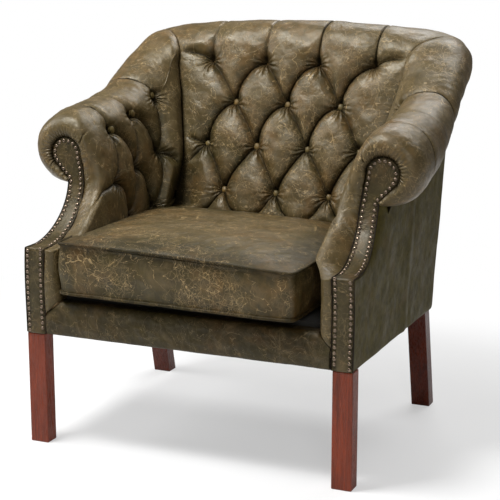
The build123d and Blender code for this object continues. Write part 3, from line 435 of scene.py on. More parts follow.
def make_materials(colours):
    """All finishes, by the material slots of the record, and four that only the scene has."""
    base = tuple(colours.leather)
    brown = tuple(colours.leather_brown)
    vein = tuple(colours.leather_vein)
    wood = tuple(colours.wood)
    # Side panels: the leather made yellower and lighter, partly a tone and partly painted light
    # that the lamps don't give these panels.
    side = (base[0] * 2.1, base[1] * 2.25, base[2] * 1.75)
    leathers = (
        ("tufted_leather", base, brown, 1.0, True),
        ("cushion_leather", tint(base, 0.98), brown, 1.35, True),
        ("panel_leather", tint(base, 0.90), tint(brown, 0.72), 0.50),
        ("border_leather", tint(base, 0.86), tint(brown, 0.66), 0.50, True),
        ("side_leather", side, tint(side, 0.9), 0.12, False, 0.12),
        ("edge_leather", (0.020, 0.011, 0.007), (0.026, 0.012, 0.007), 0.1),
        ("button_leather", tint(base, 2.6), tint(brown, 2.3), 0.3),
    )
    for name, colour, patches, *rest in leathers:
        MATERIALS[name] = leather_material(name, colour, patches, vein, *rest)
    MATERIALS["leg_wood"] = wood_material("mahogany", wood)
    # Rear legs: the leg wood at half brightness, painted shade for legs that stand in the shadow
    # under the chair.
    MATERIALS["rear_leg_wood"] = wood_material("shaded_mahogany", tint(wood, 0.50))
    MATERIALS["frame_wood"] = wood_material(
        "frame_beech", (0.40, 0.26, 0.13), 0.55, (0.07, 1.0, 1.0))
    MATERIALS["antique_nails"] = metal_material("antique_bronze", tuple(colours.nails), 0.24, 0.55)
    MATERIALS["steel"] = metal_material("spring_steel", (0.35, 0.35, 0.37), 0.30, 0.2)
    cloths = (
        ("webbing", "jute_webbing", (0.30, 0.21, 0.11), 700.0),
        ("black_cloth", "black_dust_cloth", (0.016, 0.016, 0.017), 1200.0),
        # felt of the deck, made near black to paint the deep shade under the cushion
        ("felt", "felt", (0.030, 0.028, 0.024), 2600.0),
        ("foam", "cushion_foam", (0.62, 0.55, 0.36), 3000.0),
        ("zip_tape", "zip_tape", (0.030, 0.024, 0.016), 1600.0),
    )
    for slot, *cloth in cloths:
        MATERIALS[slot] = cloth_material(*cloth)


# Shared maths

def table_at(table, q):
    """Columns of a table at places q of its first column, by smooth curves through its rows."""
    rows = np.array(table)
    xs = rows[:, 0]
    q = np.clip(np.asarray(q, float), xs[0], xs[-1])
    slopes = np.gradient(rows[:, 1:], xs, axis=0)
    k = np.clip(np.searchsorted(xs, q, side="right") - 1, 0, len(xs) - 2)
    h = xs[k + 1] - xs[k]
    t = (q - xs[k]) / h
    a = (2 * t ** 3 - 3 * t ** 2 + 1)[..., None]
    b = ((t ** 3 - 2 * t ** 2 + t) * h)[..., None]
    c = (-2 * t ** 3 + 3 * t ** 2)[..., None]
    d = ((t ** 3 - t ** 2) * h)[..., None]
    value = a * rows[k, 1:] + b * slopes[k] + c * rows[k + 1, 1:] + d * slopes[k + 1]
    return [value[..., i] for i in range(value.shape[-1])]


def ease(value, low, high):
    t = np.clip((value - low) / (high - low), 0.0, 1.0)
    return t * t * (3 - 2 * t)


def wander(points, scale, seed):
    """Smooth pseudo-random field from a few sine waves, between about -1 and 1."""
    dice = np.random.default_rng(seed)
    total = np.zeros(points.shape[:-1])
    for _ in range(7):
        run = dice.normal(size=3)
        run *= dice.uniform(0.6, 1.6) / (scale * np.linalg.norm(run))
        total += np.sin(points @ run * 2 * math.pi + dice.uniform(0, 2 * math.pi))
    return total / 3.5


def bow(start, end, control, count=9):
    """Points along a curve from start to end, drawn towards a control point."""
    points = []
    for t in np.linspace(0.0, 1.0, count):
        points.append(tuple(
            (1 - t) ** 2 * a + 2 * (1 - t) * t * c + t ** 2 * b
            for a, b, c in zip(start, end, control)
        ))
    return points


class Folds:
    """Fold lines and buttons of one pad, in its own flat coordinates in millimetres."""

    power = 5.0               # how sharply crossing folds blend
    shade_width = 2.3          # painted shade along the folds' cores
    hole_above = 9.0          # pocket over each button, pressed in and painted with shade

    def __init__(self):
        self.lines = []
        self.buttons = []

    def line(self, points, depth, width, fade=(1.0, 1.0), shade_strength=1.0, step=0.0):
        """Fold through points. fade scales it at its ends, and the darkness scales its painted
        shade; step raises the leather on its left.
        """
        self.lines.append((points, depth, width, fade, shade_strength, step))

    def button(self, u, v):
        self.buttons.append((u, v))

    def press(self, u, v, sink, well):
        """Depth under the crest, painted shade along the folds and over the buttons, and vector to
        the nearest button.
        """
        total = np.zeros_like(u)
        shade_mark = np.zeros_like(u)
        raised = np.zeros_like(u)
        for points, depth, width, fade, shade_strength, step in self.lines:
            lengths = [math.dist(a, b) for a, b in zip(points, points[1:])]
            whole = sum(lengths)
            best = np.full_like(u, 1e9)
            share = np.ones_like(u)
            left = np.zeros_like(u)
            run = 0.0
            for (u0, v0), (u1, v1), length in zip(points, points[1:], lengths):
                du, dv = u1 - u0, v1 - v0
                t = np.clip(((u - u0) * du + (v - v0) * dv) / length ** 2, 0.0, 1.0)
                distance = np.hypot(u - (u0 + du * t), v - (v0 + dv * t))
                near = distance < best
                best = np.where(near, distance, best)
                along = (run + length * t) / whole
                share = np.where(near, fade[0] + (fade[1] - fade[0]) * along, share)
                left = np.where(near, np.sign(du * (v - v0) - dv * (u - u0)), left)
                run += length
            reach = np.clip(best / width, 0.0, 1.0)
            profile = 1.0 - np.sqrt(1.0 - (1.0 - reach) ** 2 + 1e-9)
            total += (np.maximum(profile, 0.0) * depth * share) ** self.power
            # Painted shade along each fold's core, with a wider, fainter band beside it.
            shade_mark = np.maximum(shade_mark, np.exp(-((best / self.shade_width) ** 2)) * share * shade_strength)
            shade_mark = np.maximum(shade_mark, 0.34 * np.exp(-best / 4.0) * share * shade_strength)
            if step:
                lift = np.where(left * step > 0, np.exp(-best / 9.0), -0.4 * np.exp(-best / 5.0))
                raised += lift * abs(step) * share
        total = total ** (1.0 / self.power) - raised
        nearest = np.full_like(u, 1e9)
        du = np.zeros_like(u)
        dv = np.zeros_like(u)
        for bu, bv in self.buttons:
            r = np.hypot(u - bu, v - bv)
            total += sink * np.exp(-((r / well) ** 1.6))
            hole = np.hypot((u - bu) * 1.2, v - bv - self.hole_above)
            total += 0.5 * sink * np.exp(-((hole / 10.0) ** 2))
            # Painted shadow in the pocket over the button.
            shade_mark = np.maximum(shade_mark, 0.95 * np.exp(-((hole / 9.5) ** 2)))
            closer = r < nearest
            nearest = np.where(closer, r, nearest)
            du = np.where(closer, u - bu, du)
            dv = np.where(closer, v - bv, dv)
            # Painted shade round the button.
            shade_mark = np.maximum(shade_mark, 0.55 * np.exp(-((r / 11.0) ** 2)))
        return total, shade_mark, du, dv, nearest


# Meshes

def place(points):
    """Millimetres from the front faces to metres in the row frame."""
    points = np.asarray(points, float) / 1000.0
    points[..., 1] += FRONT
    return points


def new_object(name, vertices, faces, material, smooth=True, attributes=None):
    mesh = bpy.data.meshes.new(name)
    mesh.from_pydata([tuple(p) for p in vertices], [], faces)
    mesh.validate()
    for key, values in (attributes or {}).items():
        values = np.asarray(values, np.float32)
        if values.ndim == 1:
            layer = mesh.attributes.new(key, "FLOAT", "POINT")
            layer.data.foreach_set("value", values)
        else:
            layer = mesh.attributes.new(key, "FLOAT_VECTOR", "POINT")
            layer.data.foreach_set("vector", values.ravel())
    mesh.materials.append(material)
    if smooth:
        mesh.polygons.foreach_set("use_smooth", [True] * len(mesh.polygons))
    mesh.update()
    obj = bpy.data.objects.new(name, mesh)
    bpy.context.scene.collection.objects.link(obj)
    return obj


def grid_faces(rows, columns, closed=False, start=0):
    faces = []
    wide = columns if closed else columns - 1
    for i in range(rows - 1):
        for j in range(wide):
            k = (j + 1) % columns
            a = start + i * columns + j
            b = start + i * columns + k
            faces.append((a, b, b + columns, a + columns))
    return faces


def closed_pad(name, grid, attributes, material, flip, first_hub=None):
    """A grid of points (rows, columns, 3) closed behind its open edges, normals outwards."""
    rows, columns, _ = grid.shape
    points = grid.reshape(-1, 3)
    faces = grid_faces(rows, columns, closed=True)
    middle = grid.mean(axis=1)
    if first_hub is not None:
        middle[0] = first_hub
    first = len(points)
    faces += [(first, (j + 1) % columns, j) for j in range(columns)]
    last = first + 1
    base = (rows - 1) * columns
    faces += [(last, base + j, base + (j + 1) % columns) for j in range(columns)]
    points = np.vstack([points, middle[:1], middle[-1:]])
    full = {}
    for key, values in attributes.items():
        flat = values.reshape(rows * columns, -1)
        flat = np.vstack([flat, flat[:1], flat[base:base + 1]])
        full[key] = flat[:, 0] if values.ndim == 2 else flat
    if flip:
        faces = [face[::-1] for face in faces]
    obj = new_object(name, points, faces, material, True, full)
    tidy_normals(obj)
    return obj


def tidy_normals(obj):
    mesh = bmesh.new()
    mesh.from_mesh(obj.data)
    bmesh.ops.recalc_face_normals(mesh, faces=mesh.faces)
    mesh.to_mesh(obj.data)
    mesh.free()


def surface_normals(grid):
    """Unit normals of a grid of points by differences along its rows and columns."""
    down = np.gradient(grid, axis=0)
    across = np.gradient(grid, axis=1)
    normal = np.cross(across, down)
    length = np.linalg.norm(normal, axis=-1, keepdims=True)
    return normal / np.maximum(length, 1e-9)


def tube(name, path, radius, material, closed=False, sides=10):
    """Round cord along a path of points in metres."""
    path = np.asarray(path, float)
    count = len(path)
    if closed:
        ahead = np.roll(path, -1, axis=0) - np.roll(path, 1, axis=0)
    else:
        ahead = np.gradient(path, axis=0)
    ahead /= np.linalg.norm(ahead, axis=1, keepdims=True)
    side = np.cross(ahead[0], (0.0, 0.0, 1.0) if abs(ahead[0][2]) < 0.9 else (1.0, 0.0, 0.0))
    side /= np.linalg.norm(side)
    rings = []
    for point, run in zip(path, ahead):
        side = side - run * np.dot(side, run)
        side /= np.linalg.norm(side)
        up = np.cross(run, side)
        angles = np.arange(sides) * 2 * math.pi / sides
        around = np.cos(angles)[:, None] * side + np.sin(angles)[:, None] * up
        rings.append(point + radius * around)
    vertices = np.vstack(rings)
    faces = grid_faces(count, sides, closed=True)
    if closed:
        base = (count - 1) * sides
        twist = int(np.argmin(np.linalg.norm(rings[0] - rings[-1][0], axis=1)))
        for j in range(sides):
            a = (j + twist) % sides
            b = (j + 1 + twist) % sides
            faces.append((base + j, base + (j + 1) % sides, b, a))
    else:
        faces.append(tuple(range(sides))[::-1])
        faces.append(tuple(range((count - 1) * sides, count * sides)))
    obj = new_object(name, vertices, faces, material)
    tidy_normals(obj)
    return obj


def leather_sheet(name, points, painted_shade, crest, material, outwards, share=0.5):
    """Thin leather over a grid of points; the face at that share of the mesh shows its side."""
    faces = grid_faces(*points.shape[:2])
    flat = {"painted_shade": painted_shade.ravel(), "crest": crest.ravel()}
    obj = new_object(name, place(points).reshape(-1, 3), faces, material, True, flat)
    polygons = obj.data.polygons
    if polygons[int(len(polygons) * share)].normal.dot(Vector(outwards)) < 0:
        obj.data.flip_normals()
    solid = obj.modifiers.new("leather", "SOLIDIFY")
    solid.thickness = HIDE
    solid.offset = -1.0
    return obj


def tufted_surface(grid, normal, flat, folds, sink, well, puff, hold):
    """Normals, depth and painted shade of a buttoned pad, and the vectors to its buttons."""
    depth, shade_mark, du, dv, near = folds.press(*flat, sink, well)
    depth *= puff / TUFT_DEPTH
    depth *= hold
    shade_mark *= hold
    normal, depth, shade_mark = seam_valley(grid, normal, depth, shade_mark)
    return normal, depth, shade_mark, np.stack([du, dv, near], -1) / 1000.0


def crest_of(depth):
    return np.clip(1.0 - depth / TUFT_DEPTH, 0.0, 1.0)


# Arm front shapes

def swept_y(z):
    """Depth of the arm front's face at height z."""
    z = np.asarray(z, float)
    drop = np.clip((NECK_TOP - z) / NECK_R, 0.0, 1.0)
    neck = LEDGE_Y + NECK_R * np.sqrt(1.0 - drop ** 2)
    return np.where(z <= KINK_Z, 0.0, neck)


OUTER_EDGE = ((240.0, 361.0), (405.0, 361.0), (421.0, 360.0), (445.0, 356.5), (466.0, 354.0),
              (500.0, 351.2), (540.0, 351.0))
INNER_EDGE = ((240.0, 316.0), (405.0, 316.0), (421.0, 315.2), (445.0, 313.6), (466.0, 313.0),
              (500.0, 312.2), (524.0, 312.5), (560.0, 316.5))


def facing_edges(z):
    """Inner and outer x of the facing at heights z."""
    hx, hz, r = HEAD
    z = np.asarray(z, float)
    inner = table_at(INNER_EDGE, z)[0]
    outer = table_at(OUTER_EDGE, z)[0]
    half_wide = np.sqrt(np.clip(r * r - (z - hz) ** 2, 0.0, None))
    low, edge = INNER_EDGE[-1]
    inner = np.where(z > low, edge + (hx - r - edge) * ease(z, low, hz), inner)
    inner = np.where(z > hz, hx - half_wide, inner)
    touch_turn = math.radians(37.0)      # where the straight outer edge meets the head
    touch = hz - r * math.sin(touch_turn)
    touch_x = hx + r * math.cos(touch_turn)
    low, edge = OUTER_EDGE[-1]
    line = edge + (touch_x - edge) * np.clip((z - low) / (touch - low), 0.0, 1.0)
    outer = np.where(z > low, line, outer)
    outer = np.where(z > touch, hx + half_wide, outer)
    return inner, outer


# Inside arm

ARM_BUTTONS = {
    "A1": (264.0, 637.0), "A2": (362.0, 662.0), "A3": (463.0, 692.0),
    "B1": (240.0, 527.0), "B2": (333.0, 547.0), "B3": (426.0, 572.0),
    "C1": (286.0, 443.0), "C2": (379.0, 452.0), "C3": (472.0, 462.0),
}

# Height, and how far the arm pad swells into the corner there
CORNER_FILL = (
    (412.0, 0.0), (450.0, 38.0), (510.0, 43.0), (554.0, 41.0), (614.0, 33.0), (694.0, 20.0),
    (760.0, 0.0), (1000.0, 0.0),
)


def corner_fill(z):
    """How far the arm pad swells into the corner with the back at height z."""
    return np.interp(z, *zip(*CORNER_FILL))


def arm_crest_x(z):
    """Inner face over the crests, drawn out beside the cushion."""
    crest = ARM_CREST + (z - ARM_LOW_Z) * CREST_LEAN
    return crest + (BESIDE_X - crest) * (1.0 - ease(z, 412.0, 444.0))


def arm_face_x(y, z):
    """Inner face at depth y: leaning out towards the roll, and swelling into the corner."""
    axis_z = table_at(ARM_ROLL, y)[1]
    rise = np.clip((z - FLARE_LOW) / (axis_z - FLARE_LOW), 0.0, 1.0)
    flare = FLARE * rise ** 2 * (1.0 - ease(y, 480.0, 560.0))
    crest = arm_crest_x(z)
    seam_y = crest + MITRE * z + MITRE_OFFSET
    return crest + flare - corner_fill(z) * ease(y, seam_y - 85.0, seam_y)


def arm_folds():
    """Diamonds, folds down to the seat and to the facing, and pleats over the roll."""
    folds = Folds()
    b = ARM_BUTTONS
    for point in b.values():
        folds.button(*point)
    for a, c in (("A1", "B2"), ("A2", "B3"), ("B1", "C1"), ("B2", "C2"), ("B3", "C3")):
        control = (b[c][0] - 4.0, b[a][1] - 8.0)
        folds.line(bow(b[a], b[c], control), 22.0, 42.0, step=-2.6)
    for a, c in (("A1", "B1"), ("A2", "B2"), ("A3", "B3"), ("B2", "C1"), ("B3", "C2")):
        control = ((b[a][0] + b[c][0]) / 2 + 18.0, (b[a][1] + b[c][1]) / 2)
        folds.line(bow(b[a], b[c], control), 15.0, 38.0, shade_strength=0.35)
    for name in ("C1", "C2", "C3"):
        y, z = b[name]
        folds.line([(y, z), (y + 40.0, z - 90.0)], 18.0, 38.0)
        folds.line([(y, z), (y - 40.0, z - 90.0)], 18.0, 38.0)
    front = [b["B1"], (214.0, 524.0), (172.0, 518.0), (128.0, 505.0)]
    folds.line(front, 15.0, 28.0, (1.0, 0.45), step=2.0)
    folds.line([b["A1"], (260.0, 668.0), (252.0, 702.0), (246.0, 745.0)], 13.0, 26.0, (1.0, 0.3))
    over = [(254.0, 702.0), (246.0, 745.0), (243.0, 800.0), (239.0, 900.0), (238.0, 990.0)]
    folds.line(over, 5.0, 9.0, (0.8, 1.0), 1.9, step=2.0)
    folds.line([(142.0, 642.0), (158.0, 650.0), (178.0, 652.0)], 4.0, 9.0, (1.0, 0.2))
    onto = [b["A2"], (356.0, 696.0), (348.0, 726.0), (343.0, 770.0)]
    folds.line(onto, 12.0, 30.0, (1.0, 0.2), 0.5)
    over = [(348.0, 726.0), (343.0, 770.0), (341.0, 830.0), (341.0, 990.0)]
    folds.line(over, 3.0, 10.0, (0.5, 0.8), 1.0, step=1.0)
    folds.line([b["A3"], (458.0, 722.0), (450.0, 752.0), (446.0, 790.0)], 11.0, 24.0, (1.0, 0.3))
    over = [(450.0, 752.0), (445.0, 790.0), (442.0, 850.0), (440.0, 990.0)]
    folds.line(over, 5.0, 9.0, (0.8, 1.0), 1.9, step=2.0)
    return folds


class Roll:
    """Roll whose upright sections turn, from square to its run, to half way round the corner."""

    corner_lean = 0.32

    def __init__(self, table, face, turn_from, lean):
        """face(q, z) gives the pad's face at place q and height z, lean its slope at the axis."""
        q = np.linspace(table[0][0], table[-1][0], 1200)
        p, z, r = table_at(table, q)
        share = ease(q, turn_from, table[-1][0])
        turn = math.pi / 4 * share
        inner = q
        for _ in range(6):
            reach = (p - face(inner, z)) / np.cos(turn)
            inner = q - reach * np.sin(turn)
        slope = np.clip(-np.gradient(p, q), 0.0, 1.0)
        bend = turn - np.arctan(slope)
        out = r * (1.0 + 0.75 * (1.0 / np.cos(bend) - 1.0))
        lean = lean + (self.corner_lean - lean) * share
        self.inner = inner
        self.columns = np.stack([q, p, z, r, turn, reach, out, lean], -1)

    def at(self, inner):
        """Axis place q, p and z, radius, turn, inward and outward reach, and lean at inner."""
        return [np.interp(inner, self.inner, self.columns[:, i]) for i in range(8)]


def seam_gap(points):
    """Distance from the seam between arm and back, more than zero on the arm's side."""
    x, y, z = np.abs(points[..., 0]), points[..., 1], points[..., 2]
    slope = MITRE * np.minimum(z, CORNER_Z)
    return (x - y + slope + MITRE_OFFSET + corner_fill(z)) / math.sqrt(2.0)


def seam_valley(points, normal, depth, shade_mark):
    """Both pads' surfaces pressed in along the seam, so that their edges still meet, and painted
    with shade along it.
    """
    gap = np.abs(seam_gap(points))
    low = 1.0 - ease(points[..., 2], 700.0, 800.0)
    sunk = 2.5 + 8.0 * low
    width = 9.0 + 20.0 * low
    reach = np.clip(gap / width, 0.0, 1.0)
    deep = 1.0 - ease(points[..., 2], 470.0, 590.0)      # hollow over the cushion
    deep *= ease(points[..., 2], 432.0, 452.0)
    valley = sunk * (1.0 - np.sqrt(1.0 - (1.0 - reach) ** 2))
    valley += 24.0 * deep * np.exp(-((gap / 26.0) ** 2))
    held = np.exp(-((gap / 12.0) ** 2))
    depth = (1.0 - held) * np.maximum(depth, valley) + held * valley
    # Painted shade along the seam, widest in the hollow over the cushion.
    line = (0.60 + 0.25 * low) * np.exp(-gap / (1.6 + 3.0 * low + 22.0 * deep))
    shade_mark = np.maximum(shade_mark * (1.0 - held), line)
    across = np.stack([np.sign(points[..., 0]), -np.ones_like(gap), np.full_like(gap, MITRE)], -1)
    across /= np.linalg.norm(across, axis=-1, keepdims=True)
    near = np.exp(-((gap / 20.0) ** 2))
    aside = np.sum(normal * across, axis=-1) * near
    bent = normal - across * aside[..., None]
    length = np.linalg.norm(bent, axis=-1, keepdims=True)
    bent = np.where(length < 0.5, normal, bent / np.maximum(length, 0.5))
    return bent, depth, shade_mark


def pad_section(k, counts, inner, face_point, roll, across_first):
    """Points of one row of a pad: up its face, over to the roll's top, and round it.

    face_point holds the two plan coordinates and z of the face's columns; across_first tells
    which plan coordinate the roll's place q belongs to.
    """
    n_face, n_in, n_out = counts
    q, p, z, r, turn, reach, out, lean = roll.at(inner)
    t = np.clip((k - n_face) / n_in, 0.0, 1.0)
    psi = np.clip((k - n_face - n_in) / n_out, 0.0, 1.0) * math.pi
    rise = 0.60 * r
    side = -reach * (1 - t) ** 3 + 3 * (1 - t) ** 2 * t * (lean * rise - reach)
    side = side - 3 * (1 - t) * t ** 2 * 0.55 * reach + out * np.sin(psi)
    high = 3 * (1 - t) ** 2 * t * rise + 3 * (1 - t) * t ** 2 * r + t ** 3 * r
    high = np.where(k > n_face + n_in, r * np.cos(psi), high)
    rolled = k > n_face
    along = np.where(rolled, q + side * np.sin(turn), face_point[0])
    off = np.where(rolled, p + side * np.cos(turn), face_point[1])
    height = np.where(rolled, z + high, face_point[2])
    quarter = math.pi / 4 * (r + reach)
    v = np.where(rolled, z + t * quarter, face_point[2])
    v = np.where(k > n_face + n_in, z + quarter + psi * r, v)
    plan = (off, along) if across_first else (along, off)
    return np.stack([plan[0], plan[1], height], -1), v


def arm_grid(step):
    """Smooth inside arm with its roll, right side: points, flat coordinates and share of front."""
    n_face = int(300 / step)
    n_in = int(140 / step)
    n_out = int(235 / step)
    counts = (n_face, n_in, n_out)
    columns = n_face + n_in + n_out + 3
    k = np.arange(columns)
    kf = np.clip(k / n_face, 0.0, 1.0)
    phi = np.clip((k - n_face) / n_in, 0.0, 1.0) * (math.pi / 2)
    psi = np.clip((k - n_face - n_in) / n_out, 0.0, 1.0) * math.pi
    tail = np.clip(k - n_face - n_in - n_out, 0, 2) / 2.0
    roll = Roll(ARM_ROLL, arm_face_x, 470.0, CREST_LEAN + 0.30)

    # Edge of the facing that each column starts from
    arc = math.pi / 2 * NECK_R
    marks = np.cumsum([0.0, KINK_Z - PAD_LOW, LEDGE_Y, arc, HEAD[1] - KINK_Z - NECK_R])
    along = kf * marks[-1]
    theta = np.clip((along - marks[2]) / arc, 0.0, 1.0) * math.pi / 2
    edge_z = np.where(along < marks[1], PAD_LOW + along, KINK_Z)
    edge_z = np.where(along > marks[2], KINK_Z + NECK_R * (1 - np.cos(theta)), edge_z)
    edge_z = np.where(along > marks[3], NECK_TOP + along - marks[3], edge_z)
    edge_y = np.clip(along - marks[1], 0.0, LEDGE_Y) + NECK_R * np.sin(theta)
    edge_x = facing_edges(edge_z)[0]
    hx, hz, r = HEAD
    on_head = (k > n_face) & (k <= n_face + n_in)
    edge_x = np.where(on_head, hx - r * np.cos(phi), edge_x)
    edge_z = np.where(on_head, hz + r * np.sin(phi), edge_z)
    outer_turn = math.radians(127.0)
    on_top = k > n_face + n_in
    round_to = math.radians(150.0)
    turn = np.clip(psi / round_to, 0.0, 1.0) * outer_turn
    edge_x = np.where(on_top, hx + r * np.sin(turn), edge_x)
    edge_z = np.where(on_top, hz + r * np.cos(turn), edge_z)
    down = np.clip((psi - round_to) / (math.pi - round_to), 0.0, 1.0)
    low_x = hx + r * math.sin(outer_turn)
    low_z = hz + r * math.cos(outer_turn)
    edge_x = np.where(on_top & (down > 0), low_x + (352.0 - low_x) * down, edge_x)
    edge_z = np.where(on_top & (down > 0), low_z + (544.0 - low_z) * down, edge_z)
    edge_y = np.where(k >= n_face, HEAD_Y, edge_y)

    stops = marks / marks[-1]
    under = PAD_LOW + (LEDGE[0] - PAD_LOW) * kf / stops[1]
    beside = LEDGE[0] + (LEDGE[1] - LEDGE[0]) * (kf - stops[1]) / (stops[2] - stops[1])

    def section(inner, face_y):
        """One row of the pad, its roll at place inner and its face at depths face_y."""
        top = roll.at(inner)[2]
        upper = np.clip((kf - stops[2]) / (1.0 - stops[2]), 0.0, 1.0)
        face_z = np.where(kf < stops[2], beside, LEDGE[1] + (top - LEDGE[1]) * upper)
        face_z = np.where(kf < stops[1], under, face_z)
        face = (face_y, arm_face_x(face_y, face_z), face_z)
        points, v = pad_section(k, counts, inner, face, roll, True)
        points[..., 0] -= tail * 8.0
        return points, v

    deep = 30.0 + 14.0 * ease(k, n_face * 0.8, n_face * 1.1)
    start_y = edge_y + deep
    first = float(start_y[n_face])
    begin, v0 = section(first, start_y)
    bulge = 2.5 + 6.0 * ease(k, n_face * 0.72, n_face * 1.05)
    lip = 0.36
    spots = []
    for t in np.linspace(0.0, 1.0, 9)[:-1]:
        beta = t * math.pi / 2
        spots.append((lip * (1 - math.cos(beta)), edge_y + 3.0 - (bulge + 3.0) * math.sin(beta)))
    for t in np.linspace(0.0, 1.0, 15):
        alpha = t * math.pi / 2
        out = lip + (1 - lip) * math.sin(alpha)
        spots.append((out, start_y - (deep + bulge) * math.cos(alpha)))
    spots = np.array([
        np.stack([
            edge_x + (begin[:, 0] - edge_x) * out, y, edge_z + (begin[:, 2] - edge_z) * out,
        ], -1)
        for out, y in spots
    ])
    runs = np.linalg.norm(np.diff(spots, axis=0), axis=-1)
    ahead = np.flip(np.cumsum(np.flip(runs, 0), axis=0), 0)
    rows = list(spots[:-1])
    flat_u = list(begin[:, 1] - ahead)
    flat_v = [v0] * (len(spots) - 1)
    front = [np.full(columns, 1.0 - i / (len(spots) - 1)) for i in range(len(spots) - 1)]

    last = float(roll.inner[-1])
    above = LEDGE[1] + (CORNER_Z - LEDGE[1]) * (kf - stops[2]) / (1.0 - stops[2])
    face_end = np.where(kf < stops[2], LEDGE[0], above)
    face_end = np.where(kf < stops[1], under, face_end)
    end_y = arm_crest_x(face_end) + MITRE * face_end + MITRE_OFFSET
    count = int(400 / step)
    for t in np.linspace(0.0, 1.0, count):
        points, v = section(first + (last - first) * t, start_y + (end_y - start_y) * t)
        rows.append(points)
        flat_u.append(points[:, 1])
        flat_v.append(v)
        front.append(np.zeros(columns))
    grid = np.array(rows)
    low = np.clip(316.0 - grid[..., 0], 0.0, 27.0) + 284.5
    share = np.clip((LEDGE[0] - grid[..., 2]) / (LEDGE[0] - PAD_LOW), 0.0, 1.0)
    grid[..., 2] += (low - PAD_LOW) * share ** 1.5 * (k <= n_face)
    return grid, np.array(flat_u), np.array(flat_v), np.array(front)


def hidden_back(grid, behind):
    """Columns that close an arm pad's open side, kept in front of the outside back."""
    rows = len(grid)
    extra = []
    for z, deepest in ((560.0, 562.0), (440.0, 530.0), (312.0, 498.0)):
        deep = np.clip(grid[:, -1, 1], behind, deepest)
        high = np.full(rows, z)
        extra.append(np.stack([np.full(rows, 322.0), deep, high], -1))
    return extra


def make_arm(name, side, step, puff, sink, material):
    """Buttoned inside arm: its smooth grid pressed in along the folds and closed behind."""
    grid, u, v, front = arm_grid(step)
    normal = surface_normals(grid)
    if normal[len(grid) // 2, 10, 0] > 0:
        normal = -normal
    hold = ease(v, TUFT_LOW - 30.0, TUFT_LOW + 12.0)
    normal, depth, shade_mark, tuft = tufted_surface(
        grid, normal, (u, v), arm_folds(), sink, 15.0, puff, hold)
    depth += wander(grid, 70.0, 3) * 1.1 + wander(grid, 26.0, 5) * 0.35
    if side < 0:
        depth += wander(grid, 55.0, 11) * 0.5
    start = np.linspace(0.0, 1.0, grid.shape[1])[None, :] * np.ones_like(u)
    on_neck = 1.0 - ease(v, 560.0, 640.0)
    gather = np.stack([start * 5.0, ease(front, 0.42, 0.95) * (1.0 - 0.4 * on_neck), front], -1)
    creases = np.sin(start * 250.0 + 4.0 * wander(grid, 60.0, 9))
    depth += ease(front, 0.55, 0.85) * (1 - front) * 2.2 * creases * (1.0 - 0.5 * on_neck)
    points = grid - normal * depth[..., None]
    # Painted shadow round the facing, where the roll bulges over its edge.
    shade_mark = np.maximum(shade_mark, 0.95 * ease(front, 0.66 + 0.2 * on_neck, 1.0))
    attributes = {"painted_shade": shade_mark, "crest": crest_of(depth), "tuft": tuft, "gather": gather}
    extra = hidden_back(points, HUB[1])
    points = np.concatenate([points] + [column[:, None, :] for column in extra], axis=1)
    tuck = points[0] + np.array([0.0, 14.0, 0.0])
    tuck[-len(extra):] = points[0, -len(extra):]
    points = np.concatenate([tuck[None], points], axis=0)
    for key, value in attributes.items():
        pad = np.repeat(value[:, -1:], len(extra), axis=1)
        value = np.concatenate([value, pad], axis=1)
        attributes[key] = np.concatenate([value[:1], value], axis=0)
    points[..., 0] *= side
    hub = np.array([side * HUB[0], *HUB[1:]])
    return closed_pad(name, place(points), attributes, material, side > 0, place(hub))


# Inside back

BACK_ROWS = (
    (BACK_LOW_Z, (-128.0, 0.0, 128.0)),
    (579.0, (-186.0, -62.0, 62.0, 186.0)),
    (674.0, (-128.0, 0.0, 128.0)),
    (764.0, (-200.0, -65.0, 65.0, 200.0)),
)


def back_face_y(z):
    """Face of the inside back over the crests, drawn in behind the cushion."""
    crest = BACK_CREST + (z - BACK_LOW_Z) * RECLINE
    return crest + (BEHIND_Y - crest) * (1.0 - ease(z, 418.0, 452.0))


def back_grid(step):
    """Smooth inside back with its roll: points and flat coordinates, columns up the section."""
    n_face = int(520 / step)
    n_in = int(115 / step)
    n_out = int(170 / step)
    counts = (n_face, n_in, n_out)
    k = np.arange(n_face + n_in + n_out + 1)
    kf = np.clip(k / n_face, 0.0, 1.0)
    roll = Roll(BACK_ROLL, lambda _, z: back_face_y(z), 170.0, RECLINE)
    last = float(roll.inner[-1])
    end_z = PAD_LOW + (CORNER_Z - PAD_LOW) * kf
    limit = back_face_y(end_z) - MITRE * end_z - MITRE_OFFSET - corner_fill(end_z)
    rows = []
    heights = []
    for t in np.linspace(-1.0, 1.0, int(640 / step)):
        share = abs(t)
        top = roll.at(share * last)[2]
        face_z = PAD_LOW + (top - PAD_LOW) * kf
        face = (share * limit, back_face_y(face_z), face_z)
        points, v = pad_section(k, counts, share * last, face, roll, False)
        points[..., 0] *= math.copysign(1.0, t)
        rows.append(points)
        heights.append(v)
    grid = np.array(rows)
    lean = math.hypot(1.0, RECLINE)
    v = np.array(heights) * lean
    return grid, grid[..., 0], v, lean


def back_button_flat(lean):
    """Rows of buttons in the back's flat coordinates."""
    return [[(x, (height + 9.0) * lean) for x in xs] for height, xs in BACK_ROWS]


